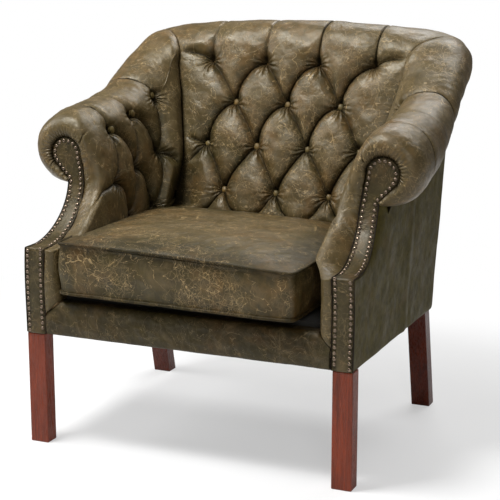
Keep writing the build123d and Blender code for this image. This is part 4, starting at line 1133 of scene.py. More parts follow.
def back_folds(lean):
    """Diamonds between the rows, folds down to the seat, out to the corners and over the roll."""
    folds = Folds()
    rows = back_button_flat(lean)
    for row in rows:
        for point in row:
            folds.button(*point)
    for number, (low, high) in enumerate(zip(rows, rows[1:])):
        full = 0.2 if number == 0 else 0.75
        for a in low:
            for b in high:
                if abs(a[0] - b[0]) > 90.0:
                    continue
                middle = ((a[0] + b[0]) / 2, (a[1] + b[1]) / 2)
                if b[0] > a[0]:
                    corner = (a[0] + 3.0, b[1] - 8.0)
                    control = tuple(m + (c - m) * full for m, c in zip(middle, corner))
                    folds.line(bow(b, a, control), 23.0, 47.0, step=-2.6)
                else:
                    control = (middle[0] + 9.0, middle[1] + 3.0)
                    folds.line(bow(b, a, control), 21.0, 44.0, shade_strength=0.75, step=-0.8)
    drop = rows[1][0][1] - rows[0][0][1]
    for x, v in rows[0]:
        folds.line([(x, v), (x + 64.0, v - drop)], 18.0, 42.0)
        folds.line([(x, v), (x - 64.0, v - drop)], 18.0, 42.0)
    for x, v in (rows[1][0], rows[1][-1]):
        side = math.copysign(1.0, x)
        folds.line([(x, v), (x + 64.0 * side, v - drop)], 18.0, 42.0)
        away = bow((x, v), (x + 130.0 * side, v + 2.0), (x + 50.0 * side, v + 16.0))
        folds.line(away, 16.0, 34.0, (1.0, 0.7), step=-2.0 * side)
    for x, v in rows[3]:
        side = math.copysign(1.0, x)
        if abs(x) > 150.0:
            away = bow((x, v), (x + 105.0 * side, v + 8.0), (x + 45.0 * side, v + 26.0))
            folds.line(away, 17.0, 36.0, (1.0, 0.7), step=-2.0 * side)
        soft = 1.0 if x > 0 else 0.55
        folds.line([(x, v), (x + 2.0, v + 50.0), (x + 4.0, v + 90.0)], 16.0, 36.0, (1.0, 0.25), 0.8)
        over = [(x, v), (x + 3.0, v + 60.0), (x + 5.0, v + 120.0), (x + 6.0, v + 330.0)]
        folds.line(over, 5.0, 10.0, (1.0, 0.9), soft, step=2.2 * soft)
    return folds


def make_back(name, step, puff, sink, material):
    """Buttoned inside back with its roll, pressed in along the folds and closed behind."""
    grid, u, v, lean = back_grid(step)
    normal = surface_normals(grid)
    if normal[grid.shape[0] // 2, grid.shape[1] // 4, 1] > 0:
        normal = -normal
    hold = np.where(v < 600.0, ease(grid[..., 2], TUFT_LOW - 25.0, TUFT_LOW + 12.0), 1.0)
    normal, depth, shade_mark, tuft = tufted_surface(
        grid, normal, (u, v), back_folds(lean), sink, 17.0, puff, hold)
    depth += wander(grid, 80.0, 21) * 1.2 + wander(grid, 28.0, 22) * 0.35
    points = grid - normal * depth[..., None]
    attributes = {
        "painted_shade": shade_mark, "crest": crest_of(depth), "tuft": tuft, "gather": np.zeros(grid.shape),
    }
    return closed_pad(name, place(points), attributes, material, False)


# Buttons and nails, by geometry nodes

def instancer(name, points, aims, profile, sides, material, size):
    """Turned heads on points, each with its axis along its aim."""
    cloud = bpy.data.meshes.new(name + "_points")
    cloud.from_pydata([tuple(p) for p in points], [], [])
    layer = cloud.attributes.new("aim", "FLOAT_VECTOR", "POINT")
    layer.data.foreach_set("vector", np.asarray(aims, np.float32).ravel())
    host = bpy.data.objects.new(name + "_points", cloud)
    bpy.context.scene.collection.objects.link(host)

    tree = bpy.data.node_groups.new(name + "_tree", "GeometryNodeTree")
    face = tree.interface
    face.new_socket("Geometry", in_out="INPUT", socket_type="NodeSocketGeometry")
    size_in = face.new_socket("Head size", in_out="INPUT", socket_type="NodeSocketFloat")
    seed_in = face.new_socket("Seed", in_out="INPUT", socket_type="NodeSocketInt")
    head_in = face.new_socket("Head", in_out="INPUT", socket_type="NodeSocketObject")
    face.new_socket("Geometry", in_out="OUTPUT", socket_type="NodeSocketGeometry")
    start = tree.nodes.new("NodeGroupInput")
    end = tree.nodes.new("NodeGroupOutput")
    info = tree.nodes.new("GeometryNodeObjectInfo")
    aim = tree.nodes.new("GeometryNodeInputNamedAttribute")
    aim.data_type = "FLOAT_VECTOR"
    aim.inputs["Name"].default_value = "aim"
    align = tree.nodes.new("FunctionNodeAlignRotationToVector")
    align.axis = "Z"
    spin = tree.nodes.new("FunctionNodeRandomValue")
    spin.data_type = "FLOAT"
    lows = [s for s in spin.inputs if s.name == "Min" and s.type == "VALUE"]
    highs = [s for s in spin.inputs if s.name == "Max" and s.type == "VALUE"]
    lows[0].default_value = 0.94
    highs[0].default_value = 1.06
    put = tree.nodes.new("GeometryNodeInstanceOnPoints")
    scale = tree.nodes.new("ShaderNodeMath")
    scale.operation = "MULTIPLY"
    real = tree.nodes.new("GeometryNodeRealizeInstances")
    paint = tree.nodes.new("GeometryNodeSetMaterial")
    paint.inputs["Material"].default_value = material
    link = tree.links.new
    link(start.outputs["Geometry"], put.inputs["Points"])
    link(start.outputs["Head"], info.inputs["Object"])
    link(info.outputs["Geometry"], put.inputs["Instance"])
    link(aim.outputs[0], align.inputs["Vector"])
    link(align.outputs[0], put.inputs["Rotation"])
    link(start.outputs["Seed"], spin.inputs["Seed"])
    value = [s for s in spin.outputs if s.type == "VALUE"][0]
    link(value, scale.inputs[0])
    link(start.outputs["Head size"], scale.inputs[1])
    link(scale.outputs[0], put.inputs["Scale"])
    link(put.outputs["Instances"], real.inputs[0])
    link(real.outputs[0], paint.inputs["Geometry"])
    link(paint.outputs[0], end.inputs[0])

    rings = []
    for r, z in profile:
        angles = np.arange(sides) * 2 * math.pi / sides
        rings.append(np.stack([r * np.cos(angles), r * np.sin(angles), np.full(sides, z)], -1))
    vertices = np.vstack(rings + [[[0.0, 0.0, profile[-1][1]]], [[0.0, 0.0, profile[0][1]]]])
    faces = grid_faces(len(profile), sides, closed=True)
    top = len(profile) * sides
    base = (len(profile) - 1) * sides
    faces += [(base + j, base + (j + 1) % sides, top) for j in range(sides)]
    faces += [((j + 1) % sides, j, top + 1) for j in range(sides)]
    reach = max(r for r, _ in profile)
    edge = np.clip(1.0 - np.hypot(vertices[:, 0], vertices[:, 1]) / reach, 0.0, 1.0)
    # Painted shade round the rim of each head, where it meets the leather, and a crest value that
    # darkens it towards the rim.
    shape = {"painted_shade": 0.9 * np.exp(-edge / 0.10), "crest": edge}
    head = new_object(name + "_head", vertices, faces, material, True, shape)

    modifier = host.modifiers.new("heads", "NODES")
    modifier.node_group = tree
    modifier[size_in.identifier] = size
    modifier[seed_in.identifier] = 7
    modifier[head_in.identifier] = head
    bpy.context.view_layer.update()
    ready = host.evaluated_get(bpy.context.evaluated_depsgraph_get())
    mesh = bpy.data.meshes.new_from_object(ready)
    mesh.name = name
    obj = bpy.data.objects.new(name, mesh)
    bpy.context.scene.collection.objects.link(obj)
    mesh.polygons.foreach_set("use_smooth", [True] * len(mesh.polygons))
    if not mesh.materials:
        mesh.materials.append(material)
    bpy.data.objects.remove(host)
    bpy.data.objects.remove(head)
    return obj


# Half sections of the heads: radius and height as shares of the head's size
BUTTON_PROFILE = (
    (0.86, -0.30), (0.97, -0.10), (1.0, 0.10), (0.97, 0.28), (0.88, 0.44),
    (0.70, 0.56), (0.46, 0.64), (0.22, 0.68),
)
NAIL_PROFILE = (
    (0.90, -0.14), (1.0, -0.02), (0.98, 0.10), (0.90, 0.25), (0.76, 0.40), (0.56, 0.52),
    (0.30, 0.60),
)
NAIL_INSET = 7.0               # nails' row from the facing's edge


def nail_track(side, pitch):
    """Places and aims of the nails: up the outer row, round the head, down the inner row."""
    hx, hz, r = HEAD
    low = RAIL_Z + 6.0
    zs = np.arange(low, 574.0, 0.5)
    points = [(x - NAIL_INSET, z) for x, z in zip(facing_edges(zs)[1], zs)]
    rim = r - NAIL_INSET
    for angle in np.radians(np.arange(-36.0, 181.0, 1.0)):
        points.append((hx + rim * math.cos(angle), hz + rim * math.sin(angle)))
    zs = np.arange(hz, low, -0.5)
    points += [(x + NAIL_INSET, z) for x, z in zip(facing_edges(zs)[0], zs)]
    track = []
    before = None
    for x, z in points:
        if before is not None and (before - KINK_Z) * (z - KINK_Z) < 0:
            ys = np.arange(1.0, LEDGE_Y, 1.0)
            if z < KINK_Z:
                ys = ys[::-1]
            track += [((x, y, KINK_Z), (0.0, -0.45, 0.9)) for y in ys]
        y = float(swept_y(z))
        if z <= KINK_Z or z >= NECK_TOP:
            aim = (0.0, -1.0, 0.0)
        else:
            drop = (NECK_TOP - z) / NECK_R
            aim = (0.0, -math.sqrt(1 - drop ** 2), drop)
        track.append(((x, y, z), aim))
        before = z
    chosen = [track[0]]
    travelled = 0.0
    for (a, _), (b, aim) in zip(track, track[1:]):
        travelled += math.dist(a, b)
        if travelled >= pitch:
            chosen.append((b, aim))
            travelled -= pitch
    points = place([p for p, _ in chosen]) * np.array([side, 1.0, 1.0])
    aims = np.array([a for _, a in chosen]) * np.array([side, 1.0, 1.0])
    return points, aims


# Facing

def make_facing(name, side, material):
    """Leather over the arm front, a little padded between its edges."""
    arc = np.radians(np.linspace(0.0, 90.0, 60))
    path = [(z, 0.0) for z in np.linspace(RAIL_Z, KINK_Z - 2.0, 56)]
    path += [(KINK_Z, y) for y in np.linspace(1.5, LEDGE_Y - 1.0, 8)]
    for a in arc:
        path.append((KINK_Z + NECK_R * (1 - math.cos(a)), LEDGE_Y + NECK_R * math.sin(a)))
    top = HEAD[1] + HEAD[2]
    for a in np.linspace(4.0, 89.5, 30):
        path.append((NECK_TOP + (top - NECK_TOP) * math.sin(math.radians(a)), HEAD_Y))
    path = np.array(path)
    z, y = path[:, 0], path[:, 1]
    inner, outer = facing_edges(z)
    across = np.sin(np.linspace(-1.0, 1.0, 21) * math.pi / 2)
    run = np.gradient(path, axis=0)
    run /= np.linalg.norm(run, axis=1, keepdims=True)
    aim_y = -run[:, 0]
    aim_z = run[:, 1]
    grid = np.zeros((len(path), len(across), 3))
    middle = (inner + outer) / 2
    half = (outer - inner) / 2
    grid[..., 0] = middle[:, None] + half[:, None] * across[None, :]
    width = half[:, None] * (1 - np.abs(across))[None, :]
    rise = 1.6 * (1 - np.exp(-width / 3.0)) - 1.4 * np.exp(-width / 1.2)
    row_gap = np.minimum(np.abs(width - NAIL_INSET), 8.0)
    rise = rise - 0.7 * np.exp(-((row_gap / 3.4) ** 2))
    grid[..., 1] = y[:, None] + aim_y[:, None] * rise
    grid[..., 2] = z[:, None] + aim_z[:, None] * rise
    grid[..., 0] += wander(grid, 40.0, 31) * 0.25
    grid[..., 0] *= side
    # Painted shade at the facing's edges and along the rows of nails; the low crest at the edges
    # adds hollow shade.
    painted_shade = 0.85 * np.exp(-width / 1.6) + 0.40 * np.exp(-((row_gap / 3.0) ** 2))
    crest = np.clip(rise / 1.6, 0.0, 1.0) * 0.6
    return leather_sheet(name, grid, painted_shade, crest, material, (0.0, -1.0, 0.0), 0.25)


def facing_edge_path(side, outer_edge, out):
    """Line along one edge of the facing, for its rolled edge."""
    zs = np.linspace(RAIL_Z + 1.5, KINK_Z, 60)
    zs = np.concatenate([zs, np.linspace(KINK_Z + 1, SWEEP_TOP, 110)])
    if outer_edge:
        zs = zs[zs < OUTER_EDGE[-1][0]]
    inner, outer = facing_edges(zs)
    xs = (outer + out) if outer_edge else (inner - out)
    ys = swept_y(zs)
    points = [(x, y - 0.2, z) for x, y, z in zip(xs, ys, zs)]
    shelf = [i for i, z in enumerate(zs) if z > KINK_Z][0]
    ledge = np.linspace(2.0, LEDGE_Y - 1.0, 8)
    fill = [(points[shelf][0], y, KINK_Z + 0.6) for y in ledge]
    points = points[:shelf] + fill + points[shelf:]
    return place(points) * np.array([side, 1.0, 1.0])


# Outside panels and border

def rear_y(z):
    """Depth of the outside back at height z."""
    return REAR_Y + (z - RAIL_Z) * BACK_LEAN


def under_roll_z(y):
    """Top edge of the side panel under the arm's roll."""
    _, cz, cr = table_at(ARM_ROLL, np.maximum(y, ARM_ROLL[0][0]))
    rim = 18.0 * (1.0 - ease(y, 160.0, 200.0))
    return cz - cr + rim + 5.0


def make_outside_arm(name, side, material):
    """Plain side panel of leather, drawn over the frame, with a soft bend down it."""
    ys = np.concatenate([
        np.linspace(0.6, LEDGE_Y, 8), np.linspace(26.0, 166.0, 40), np.linspace(170.0, 640.0, 130),
    ])
    top = np.where(ys < LEDGE_Y, KINK_Z - 1.0, under_roll_z(ys))
    inside = (ys >= LEDGE_Y) & (ys < HEAD_Y)
    arc = NECK_TOP - np.sqrt(np.clip(NECK_R ** 2 - (ys - LEDGE_Y) ** 2, 0.0, None))
    hidden = np.where(inside, 32.0 * ease(ys, 110.0, 160.0), 8.0 * ease(ys, 160.0, 175.0))
    top = np.where(inside, np.minimum(arc - 0.6, under_roll_z(ys) + hidden), top + hidden)
    bottom = np.where(ys > REAR_Y, RAIL_Z + (ys - REAR_Y) / BACK_LEAN, RAIL_Z)
    bottom = np.minimum(bottom, top - 0.5)
    t = np.linspace(0.0, 1.0, 110)[:, None]
    z = bottom[None, :] + (top - bottom)[None, :] * t
    y = ys[None, :] * np.ones_like(z)
    x = np.full_like(z, HALF)
    outer = facing_edges(np.clip(z, RAIL_Z, 600.0))[1]
    drawn = np.exp(-np.maximum(y - swept_y(np.minimum(z, SWEEP_TOP)), 0.0) / 22.0)
    x = x + (np.minimum(outer, HALF) - HALF) * drawn * (z > 400.0)
    bend = 330.0 + 0.18 * (z - 320.0)
    x = x + 1.8 * np.exp(-(((y - bend) / 16.0) ** 2))
    x = x - 1.2 * np.exp(-(((y - bend - 26.0) / 14.0) ** 2))
    points = np.stack([x, y, z], -1)
    x = x + wander(points, 190.0, 41) * 1.3 + wander(points, 60.0, 42) * 0.35
    edge = np.minimum(z - bottom[None, :], 12.0)
    x = x - 2.0 * np.exp(-np.maximum(edge, 0.0) / 3.0)
    rear = rear_y(z) - y
    x = x - 2.5 * np.exp(-np.maximum(rear, 0.0) / 4.0)
    points = np.stack([x * side, y, z], -1)
    # Painted shade just under the roll.
    painted_shade = 0.7 * np.exp(-np.maximum(top[None, :] - z, 0.0) / 14.0) * (y > 150.0)
    crest = np.full_like(x, PANEL_CREST)
    return leather_sheet(name, points, painted_shade, crest, material, (side, 0.0, 0.0))


def make_outside_back(name, material):
    """Plain leather panel down the back, tucked under the roll."""
    half = 359.0
    xs = np.linspace(-half, half, 150)
    _, cz, cr = table_at(BACK_ROLL, np.abs(xs))
    top = cz - cr + 6.0
    t = np.linspace(0.0, 1.0, 110)[:, None]
    z = RAIL_Z + (top - RAIL_Z)[None, :] * t
    x = xs[None, :] * np.ones_like(z)
    y = rear_y(z)
    points = np.stack([x, y, z], -1)
    y = y + wander(points, 230.0, 51) * 1.4 + wander(points, 70.0, 52) * 0.35
    y = y - 2.2 * np.exp(-(half - np.abs(x)) / 4.0) - 2.0 * np.exp(-(z - RAIL_Z) / 4.0)
    points = np.stack([x, y, z], -1)
    # Painted shade just under the roll.
    painted_shade = 0.7 * np.exp(-np.maximum(top[None, :] - z, 0.0) / 14.0)
    crest = np.full_like(x, PANEL_CREST)
    return leather_sheet(name, points, painted_shade, crest, material, (0.0, 1.0, 0.0))


def make_border(name, material):
    """Padded front border with its rounded lip, mitred at both ends."""
    line = [(10.0, 240.6), (2.5, 240.2), (0.3, 242.5)]
    for t in np.linspace(0.05, 1.0, 18):
        line.append((-0.6 - 2.2 * math.sin(math.pi * t), 242.5 + 46.0 * t))
    for a in np.radians(np.linspace(6.0, 96.0, 16)):
        line.append((-0.6 + 15.0 * (1 - math.cos(a)), 288.5 + 22.5 * math.sin(a)))
    line += [(y, 311.0 - 0.02 * (y - 16.0)) for y in np.linspace(20.0, 60.0, 10)]
    line += [(60.0, 300.0), (40.0, 280.0), (14.0, 250.0)]
    line = np.array(line)
    s = np.linspace(-1.0, 1.0, 230)
    y = line[:, 0][:, None] * np.ones((1, len(s)))
    z = line[:, 1][:, None] * np.ones((1, len(s)))
    limit = 315.0 - np.clip(z - 284.0, 0.0, 28.0)
    x = s[None, :] * limit
    points = np.stack([x, y, z], -1)
    seam = limit - np.abs(x)
    depth = 3.5 * np.exp(-seam / 5.0) * (z > 280.0)
    depth = depth + 1.0 * wander(points, 90.0, 61) + 0.35 * wander(points, 26.0, 62)
    y = y + depth * (y < 18.0)
    z = z - depth * 0.6 * (z > 296.0)
    points = np.stack([x, y, z], -1)
    # Painted shade at the mitres and on the lip where it turns back under the cushion.
    painted_shade = 0.8 * np.exp(-seam / 4.0) + 0.5 * ease(y, 12.0, 40.0)
    grid = np.swapaxes(place(points), 0, 1)
    crest = np.full_like(x, 0.45)
    attributes = {"painted_shade": np.swapaxes(painted_shade, 0, 1), "crest": np.swapaxes(crest, 0, 1)}
    return closed_pad(name, grid, attributes, material, False)


# Cushion

CUSHION = {"half": 264.0, "front": -5.0, "rear": 440.0, "low": 331.0, "high": 424.0}


def plan_point(a, b, extra=0.0):
    """Point of the cushion's rounded plan for square coordinates a, b from -1 to 1."""
    power = 30.0
    norm = (np.abs(a) ** power + np.abs(b) ** power) ** (1 / power)
    flat = np.maximum(np.abs(a), np.abs(b))
    scale = np.where(norm > 1e-9, flat / np.maximum(norm, 1e-9), 1.0)
    x = a * scale * (CUSHION["half"] + extra)
    middle = (CUSHION["front"] + CUSHION["rear"]) / 2
    depth = (CUSHION["rear"] - CUSHION["front"]) / 2
    y = middle + b * scale * (depth + extra)
    return x, y


def settled(x, y, z):
    """The loose cushion as it lies: a little to the left, its right front corner drawn forward."""
    right = (x + CUSHION["half"]) / (2 * CUSHION["half"])
    ahead = np.clip(1.0 - (y - CUSHION["front"]) / 300.0, 0.0, 1.0)
    up = np.clip((z - CUSHION["low"]) / (CUSHION["high"] - CUSHION["low"]), 0.0, 1.0)
    y = y - 16.0 * right * ahead
    z = z + 3.0 + up * (10.0 - 12.0 * right)
    return x - 18.0, y, z


def cushion_top(a, b, crown):
    """Rise of the cushion's face over its edge."""
    across = (1 - np.abs(a) ** 2.6) ** 0.62
    along = (1 - np.abs(b) ** 3.0) ** 0.55
    return crown * across * along


def make_cushion(name, crown, material):
    """Seat cushion: n by n points on its top and underside, m rows up its boxing."""
    n = 120
    m = 24
    low_z, high_z = CUSHION["low"], CUSHION["high"]
    s = np.sin(np.linspace(-1.0, 1.0, n) * math.pi / 2 * 0.985) / math.sin(math.pi / 2 * 0.985)
    a, b = np.meshgrid(s, s)
    x, y = plan_point(a, b)
    dish = 2.2 * np.exp(-((a - 0.1) ** 2 + (b + 0.1) ** 2) / 0.5)
    top = high_z + cushion_top(a, b, crown * 1000.0) - dish
    spots = np.stack([x, y, top], -1)
    inward = 1 - np.maximum(np.abs(a), np.abs(b)) ** 8
    top += (wander(spots, 120.0, 71) * 1.3 + wander(spots, 34.0, 72) * 0.45) * inward
    low_sag = 10.3 * (1 - np.abs(a) ** 4) * (1 - np.abs(b) ** 4)
    under = low_z - low_sag
    vertices = []
    faces = []
    marks = []
    crest = []
    edge = 1.0 - np.maximum(np.abs(a), np.abs(b))
    rim_gap = edge * 220.0
    # Painted shade by the rims of the top and the underside; the crest value below darkens a wider
    # band there.
    rim_shade = 0.75 * np.exp(-rim_gap / 3.0)
    for level, z in ((0, top), (1, under)):
        base = len(vertices)
        vertices += list(np.stack([x, y, z], -1).reshape(-1, 3))
        marks += list(rim_shade.ravel())
        crest += list(np.clip(0.35 + 0.65 * ease(rim_gap, 8.0, 120.0), 0, 1).ravel())
        for i in range(n - 1):
            for j in range(n - 1):
                p = base + i * n + j
                q = (p, p + 1, p + n + 1, p + n)
                faces.append(q if level == 0 else q[::-1])
    ring = [(0, j) for j in range(n - 1)] + [(i, n - 1) for i in range(n - 1)]
    ring += [(n - 1, j) for j in range(n - 1, 0, -1)] + [(i, 0) for i in range(n - 1, 0, -1)]
    count = len(ring)
    top_ring = [i * n + j for i, j in ring]
    low_ring = [n * n + i * n + j for i, j in ring]
    rows = [low_ring]
    ra = np.array([a[i, j] for i, j in ring])
    rb = np.array([b[i, j] for i, j in ring])
    heights = np.linspace(0.0, 1.0, m)[1:-1]
    for t in heights:
        puffed = 5.0 * math.sin(math.pi * t) - 1.6
        px, py = plan_point(ra, rb)
        nx, ny = plan_point(ra, rb, 1.0)
        nx, ny = nx - px, ny - py
        length = np.hypot(nx, ny)
        z = low_z + (high_z - low_z) * t
        spot = np.stack([px, py, np.full(count, z)], -1)
        out = puffed + wander(spot, 60.0, 73) * 1.2 + wander(spot, 20.0, 74) * 0.45
        base = len(vertices)
        px = px + nx / length * out
        py = py + ny / length * out
        vertices += list(np.stack([px, py, np.full(count, z)], -1))
        # Painted shade towards the top and bottom edges of the boxing, where the crest value is
        # lower too.
        marks += [0.75 * math.exp(-min(t, 1 - t) * (high_z - low_z) / 3.0)] * count
        crest += [0.4 + 0.3 * math.sin(math.pi * t)] * count
        rows.append(list(range(base, base + count)))
    rows.append(top_ring)
    for low, high in zip(rows, rows[1:]):
        for j in range(count):
            k = (j + 1) % count
            faces.append((low[j], low[k], high[k], high[j]))
    vertices = np.stack(settled(*np.array(vertices).T), -1)
    zero = np.zeros((len(vertices), 3))
    far = np.tile([1.0, 0.0, 1.0], (len(vertices), 1))
    attributes = {"painted_shade": np.array(marks), "crest": np.array(crest), "tuft": far, "gather": zero}
    obj = new_object(name, place(vertices), faces, material, True, attributes)
    tidy_normals(obj)
    return obj


def welt_path(z, crown):
    """Line of a welt round the cushion."""
    count = 420
    angles = np.linspace(-1.0, 1.0, count // 4, endpoint=False)
    ring = [(t, -1.0) for t in angles] + [(1.0, t) for t in angles]
    ring += [(-t, 1.0) for t in angles] + [(-1.0, -t) for t in angles]
    a, b = np.array(ring).T
    x, y = plan_point(a, b, 0.6)
    lift = crown * (1 - np.abs(a) ** 2) * (np.abs(b) > 0.999)
    lift = lift + crown * 0.7 * (1 - np.abs(b) ** 2) * (np.abs(a) > 0.999)
    spots = np.stack([x, y, np.full_like(x, z)], -1)
    lift = lift + wander(spots, 90.0, 77) * 0.5
    return place(np.stack(settled(x, y, z + lift), -1))


# Legs

def make_leg(name, outlines, material):
    """Leg sawn from one board, with eased edges. Each outline is (points, inner x, outer x)."""
    mesh = bmesh.new()
    for profile, x0, x1 in outlines:
        rings = []
        for x in (x0, x1):
            points = place([(x, y, z) for y, z in profile])
            rings.append([mesh.verts.new(p) for p in points])
        count = len(profile)
        mesh.faces.new(rings[0])
        mesh.faces.new(rings[1][::-1])
        for i in range(count):
            j = (i + 1) % count
            mesh.faces.new((rings[0][i], rings[1][i], rings[1][j], rings[0][j]))
    bmesh.ops.recalc_face_normals(mesh, faces=mesh.faces)
    data = bpy.data.meshes.new(name)
    mesh.to_mesh(data)
    mesh.free()
    data.materials.append(material)
    obj = bpy.data.objects.new(name, data)
    bpy.context.scene.collection.objects.link(obj)
    bevel = obj.modifiers.new("eased_edges", "BEVEL")
    bevel.width = 0.0022
    bevel.segments = 3
    bevel.limit_method = "ANGLE"
    bevel.angle_limit = math.radians(20.0)
    bevel.harden_normals = True
    data.polygons.foreach_set("use_smooth", [True] * len(data.polygons))
    return obj


# Side outlines (y, z) of the legs; the block stands inside the cover, the rear leg runs up the back
FRONT_LEG = ((0.0, 0.0), (34.0, 0.0), (34.0, 239.6), (0.0, 239.6))
FRONT_BLOCK = ((3.2, 239.0), (45.0, 239.0), (45.0, 305.6), (3.2, 305.6))
REAR_LEG = (
    (554.0, 0.0), (588.0, 0.0), (531.6, 239.6), (528.6, 240.4), (649.2, 781.0), (616.4, 781.0),
    (498.0, 306.0), (498.0, 240.0),
)


# Operators

def sizes():
    return bpy.context.scene.chair_sizes


def finish_piece(obj, body, nodes):
    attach(obj, body)
    if nodes:
        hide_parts(*nodes)


class CHAIR_OT_finishes(bpy.types.Operator):
    """Make the leather, wood, metal and cloth, and give them to the frame's own pieces"""

    bl_idname = "chair.finishes"
    bl_label = "Finishes"

    def execute(self, context):
        make_materials(context.scene.chair_colours)
        slots = {part["node"]: part["material_slot"] for part in frame["record"]["subparts"]}
        for node, obj in frame["nodes"].items():
            obj.data.materials.clear()
            obj.data.materials.append(MATERIALS[slots[node]])
        return {"FINISHED"}


class CHAIR_OT_inside_arms(bpy.types.Operator):
    """Build the buttoned inside arms with their rolls"""

    bl_idname = "chair.inside_arms"
    bl_label = "Inside arms"

    def execute(self, context):
        s = sizes()
        for word, side in SIDES:
            obj = make_arm("tufted_arm_" + word, side, s.mesh_step * 1000, s.puff * 1000,
                           s.button_sink * 1000, MATERIALS["tufted_leather"])
            finish_piece(obj, "chair", ["inside_arm_" + word])
        return {"FINISHED"}


class CHAIR_OT_inside_back(bpy.types.Operator):
    """Build the buttoned inside back with its top roll"""

    bl_idname = "chair.inside_back"
    bl_label = "Inside back"

    def execute(self, context):
        s = sizes()
        obj = make_back("tufted_back", s.mesh_step * 1000, s.puff * 1000, s.button_sink * 1000,
                        MATERIALS["tufted_leather"])
        finish_piece(obj, "chair", ["inside_back"])
        return {"FINISHED"}


class CHAIR_OT_buttons(bpy.types.Operator):
    """Set the covered buttons in their wells"""

    bl_idname = "chair.buttons"
    bl_label = "Buttons"

    def execute(self, context):
        s = sizes()
        lean = np.array([-1.0, 0.0, CREST_LEAN]) / math.hypot(1.0, CREST_LEAN)
        for word, side in SIDES:
            points = []
            for key, (y, z) in ARM_BUTTONS.items():
                if key != "C3":
                    points.append((ARM_WELL + (z - ARM_LOW_Z) * CREST_LEAN - 1.0, y, z))
            flip = np.array([side, 1.0, 1.0])
            aims = np.tile(lean * flip, (len(points), 1))
            obj = instancer("covered_buttons_" + word, place(points) * flip, aims,
                            BUTTON_PROFILE, 20, MATERIALS["button_leather"], s.button_radius)
            finish_piece(obj, "chair", ["arm_buttons_" + word])
        points = []
        aims = []
        for z, xs in BACK_ROWS:
            for x in xs:
                extra = max(0.0, z - 700.0) * 0.10
                points.append((x, BACK_WELL + (z - BACK_LOW_Z) * RECLINE - 1.0 + extra, z))
                aims.append((0.0, -1.0, RECLINE))
        aims = np.array(aims) / math.hypot(1.0, RECLINE)
        obj = instancer("covered_buttons_back", place(points), aims, BUTTON_PROFILE, 20,
                        MATERIALS["button_leather"], s.button_radius)
        finish_piece(obj, "chair", ["back_buttons"])
        return {"FINISHED"}


class CHAIR_OT_facings(bpy.types.Operator):
    """Cover the arm fronts and roll their edges"""

    bl_idname = "chair.facings"
    bl_label = "Facings"

    def execute(self, context):
        for word, side in SIDES:
            obj = make_facing("scroll_facing_" + word, side, MATERIALS["panel_leather"])
            finish_piece(obj, "chair", ["arm_facing_" + word])
            for edge, outer, out in (("outer", True, -0.4), ("inner", False, -0.2)):
                path = facing_edge_path(side, outer, out)
                cord = tube(f"facing_edge_{edge}_{word}", path, 0.0012, MATERIALS["edge_leather"])
                finish_piece(cord, "chair", [])
        return {"FINISHED"}


class CHAIR_OT_nails(bpy.types.Operator):
    """Set the antique nails along both edges of each facing"""

    bl_idname = "chair.nails"
    bl_label = "Nails"

    def execute(self, context):
        s = sizes()
        for word, side in SIDES:
            points, aims = nail_track(side, round(s.nail_pitch * 1000, 4))
            points = points + aims * 0.0012
            obj = instancer("antique_nails_" + word, points, aims, NAIL_PROFILE, s.nail_sides,
                            MATERIALS["antique_nails"], s.nail_radius)
            finish_piece(obj, "chair", ["facing_nails_" + word])
        return {"FINISHED"}


class CHAIR_OT_outside(bpy.types.Operator):
    """Stretch the plain outside panels and the front border"""

    bl_idname = "chair.outside"
    bl_label = "Outside panels and border"

    def execute(self, context):
        for word, side in SIDES:
            obj = make_outside_arm("side_panel_" + word, side, MATERIALS["side_leather"])
            finish_piece(obj, "chair", ["outside_arm_" + word])
        obj = make_outside_back("rear_panel", MATERIALS["side_leather"])
        finish_piece(obj, "chair", ["outside_back"])
        obj = make_border("padded_border", MATERIALS["border_leather"])
        finish_piece(obj, "chair", ["front_border"])
        return {"FINISHED"}


class CHAIR_OT_cushion(bpy.types.Operator):
    """Build the loose seat cushion with its welts"""

    bl_idname = "chair.cushion"
    bl_label = "Seat cushion"

    def execute(self, context):
        s = sizes()
        obj = make_cushion("seat_cushion", s.cushion_crown, MATERIALS["cushion_leather"])
        finish_piece(obj, "cushion", ["cushion_cover", "cushion_foam"])
        for word, z, crown in (("upper", CUSHION["high"], 4.0), ("lower", CUSHION["low"], 0.0)):
            cord = tube("cushion_welt_" + word, welt_path(z, crown), s.welt_radius,
                        MATERIALS["cushion_leather"], True)
            nodes = ["cushion_welts"] if word == "upper" else []
            finish_piece(cord, "cushion", nodes)
        return {"FINISHED"}


class CHAIR_OT_legs(bpy.types.Operator):
    """Make the polished legs with their eased edges"""

    bl_idname = "chair.legs"
    bl_label = "Legs"

    def execute(self, context):
        for word, side in SIDES:
            shown = (FRONT_LEG, 319.0 * side, 361.0 * side)
            block = (FRONT_BLOCK, 319.5 * side, 357.5 * side)
            obj = make_leg("polished_front_leg_" + word, (shown, block), MATERIALS["leg_wood"])
            finish_piece(obj, "chair", ["front_leg_" + word])
            shown = (REAR_LEG, 311.0 * side, 353.0 * side)
            obj = make_leg("polished_rear_leg_" + word, (shown,), MATERIALS["rear_leg_wood"])
            finish_piece(obj, "chair", ["rear_leg_" + word])
        return {"FINISHED"}


def area_lamp(name, place_at, aim_at, size, power):
    lamp = bpy.data.lights.new(name, "AREA")
    lamp.shape = "RECTANGLE"
    lamp.size = size[0]
    lamp.size_y = size[1]
    lamp.energy = power
    obj = bpy.data.objects.new(name, lamp)
    obj.location = place_at
    obj.rotation_euler = (Vector(aim_at) - Vector(place_at)).to_track_quat("-Z", "Y").to_euler()
    bpy.context.scene.collection.objects.link(obj)


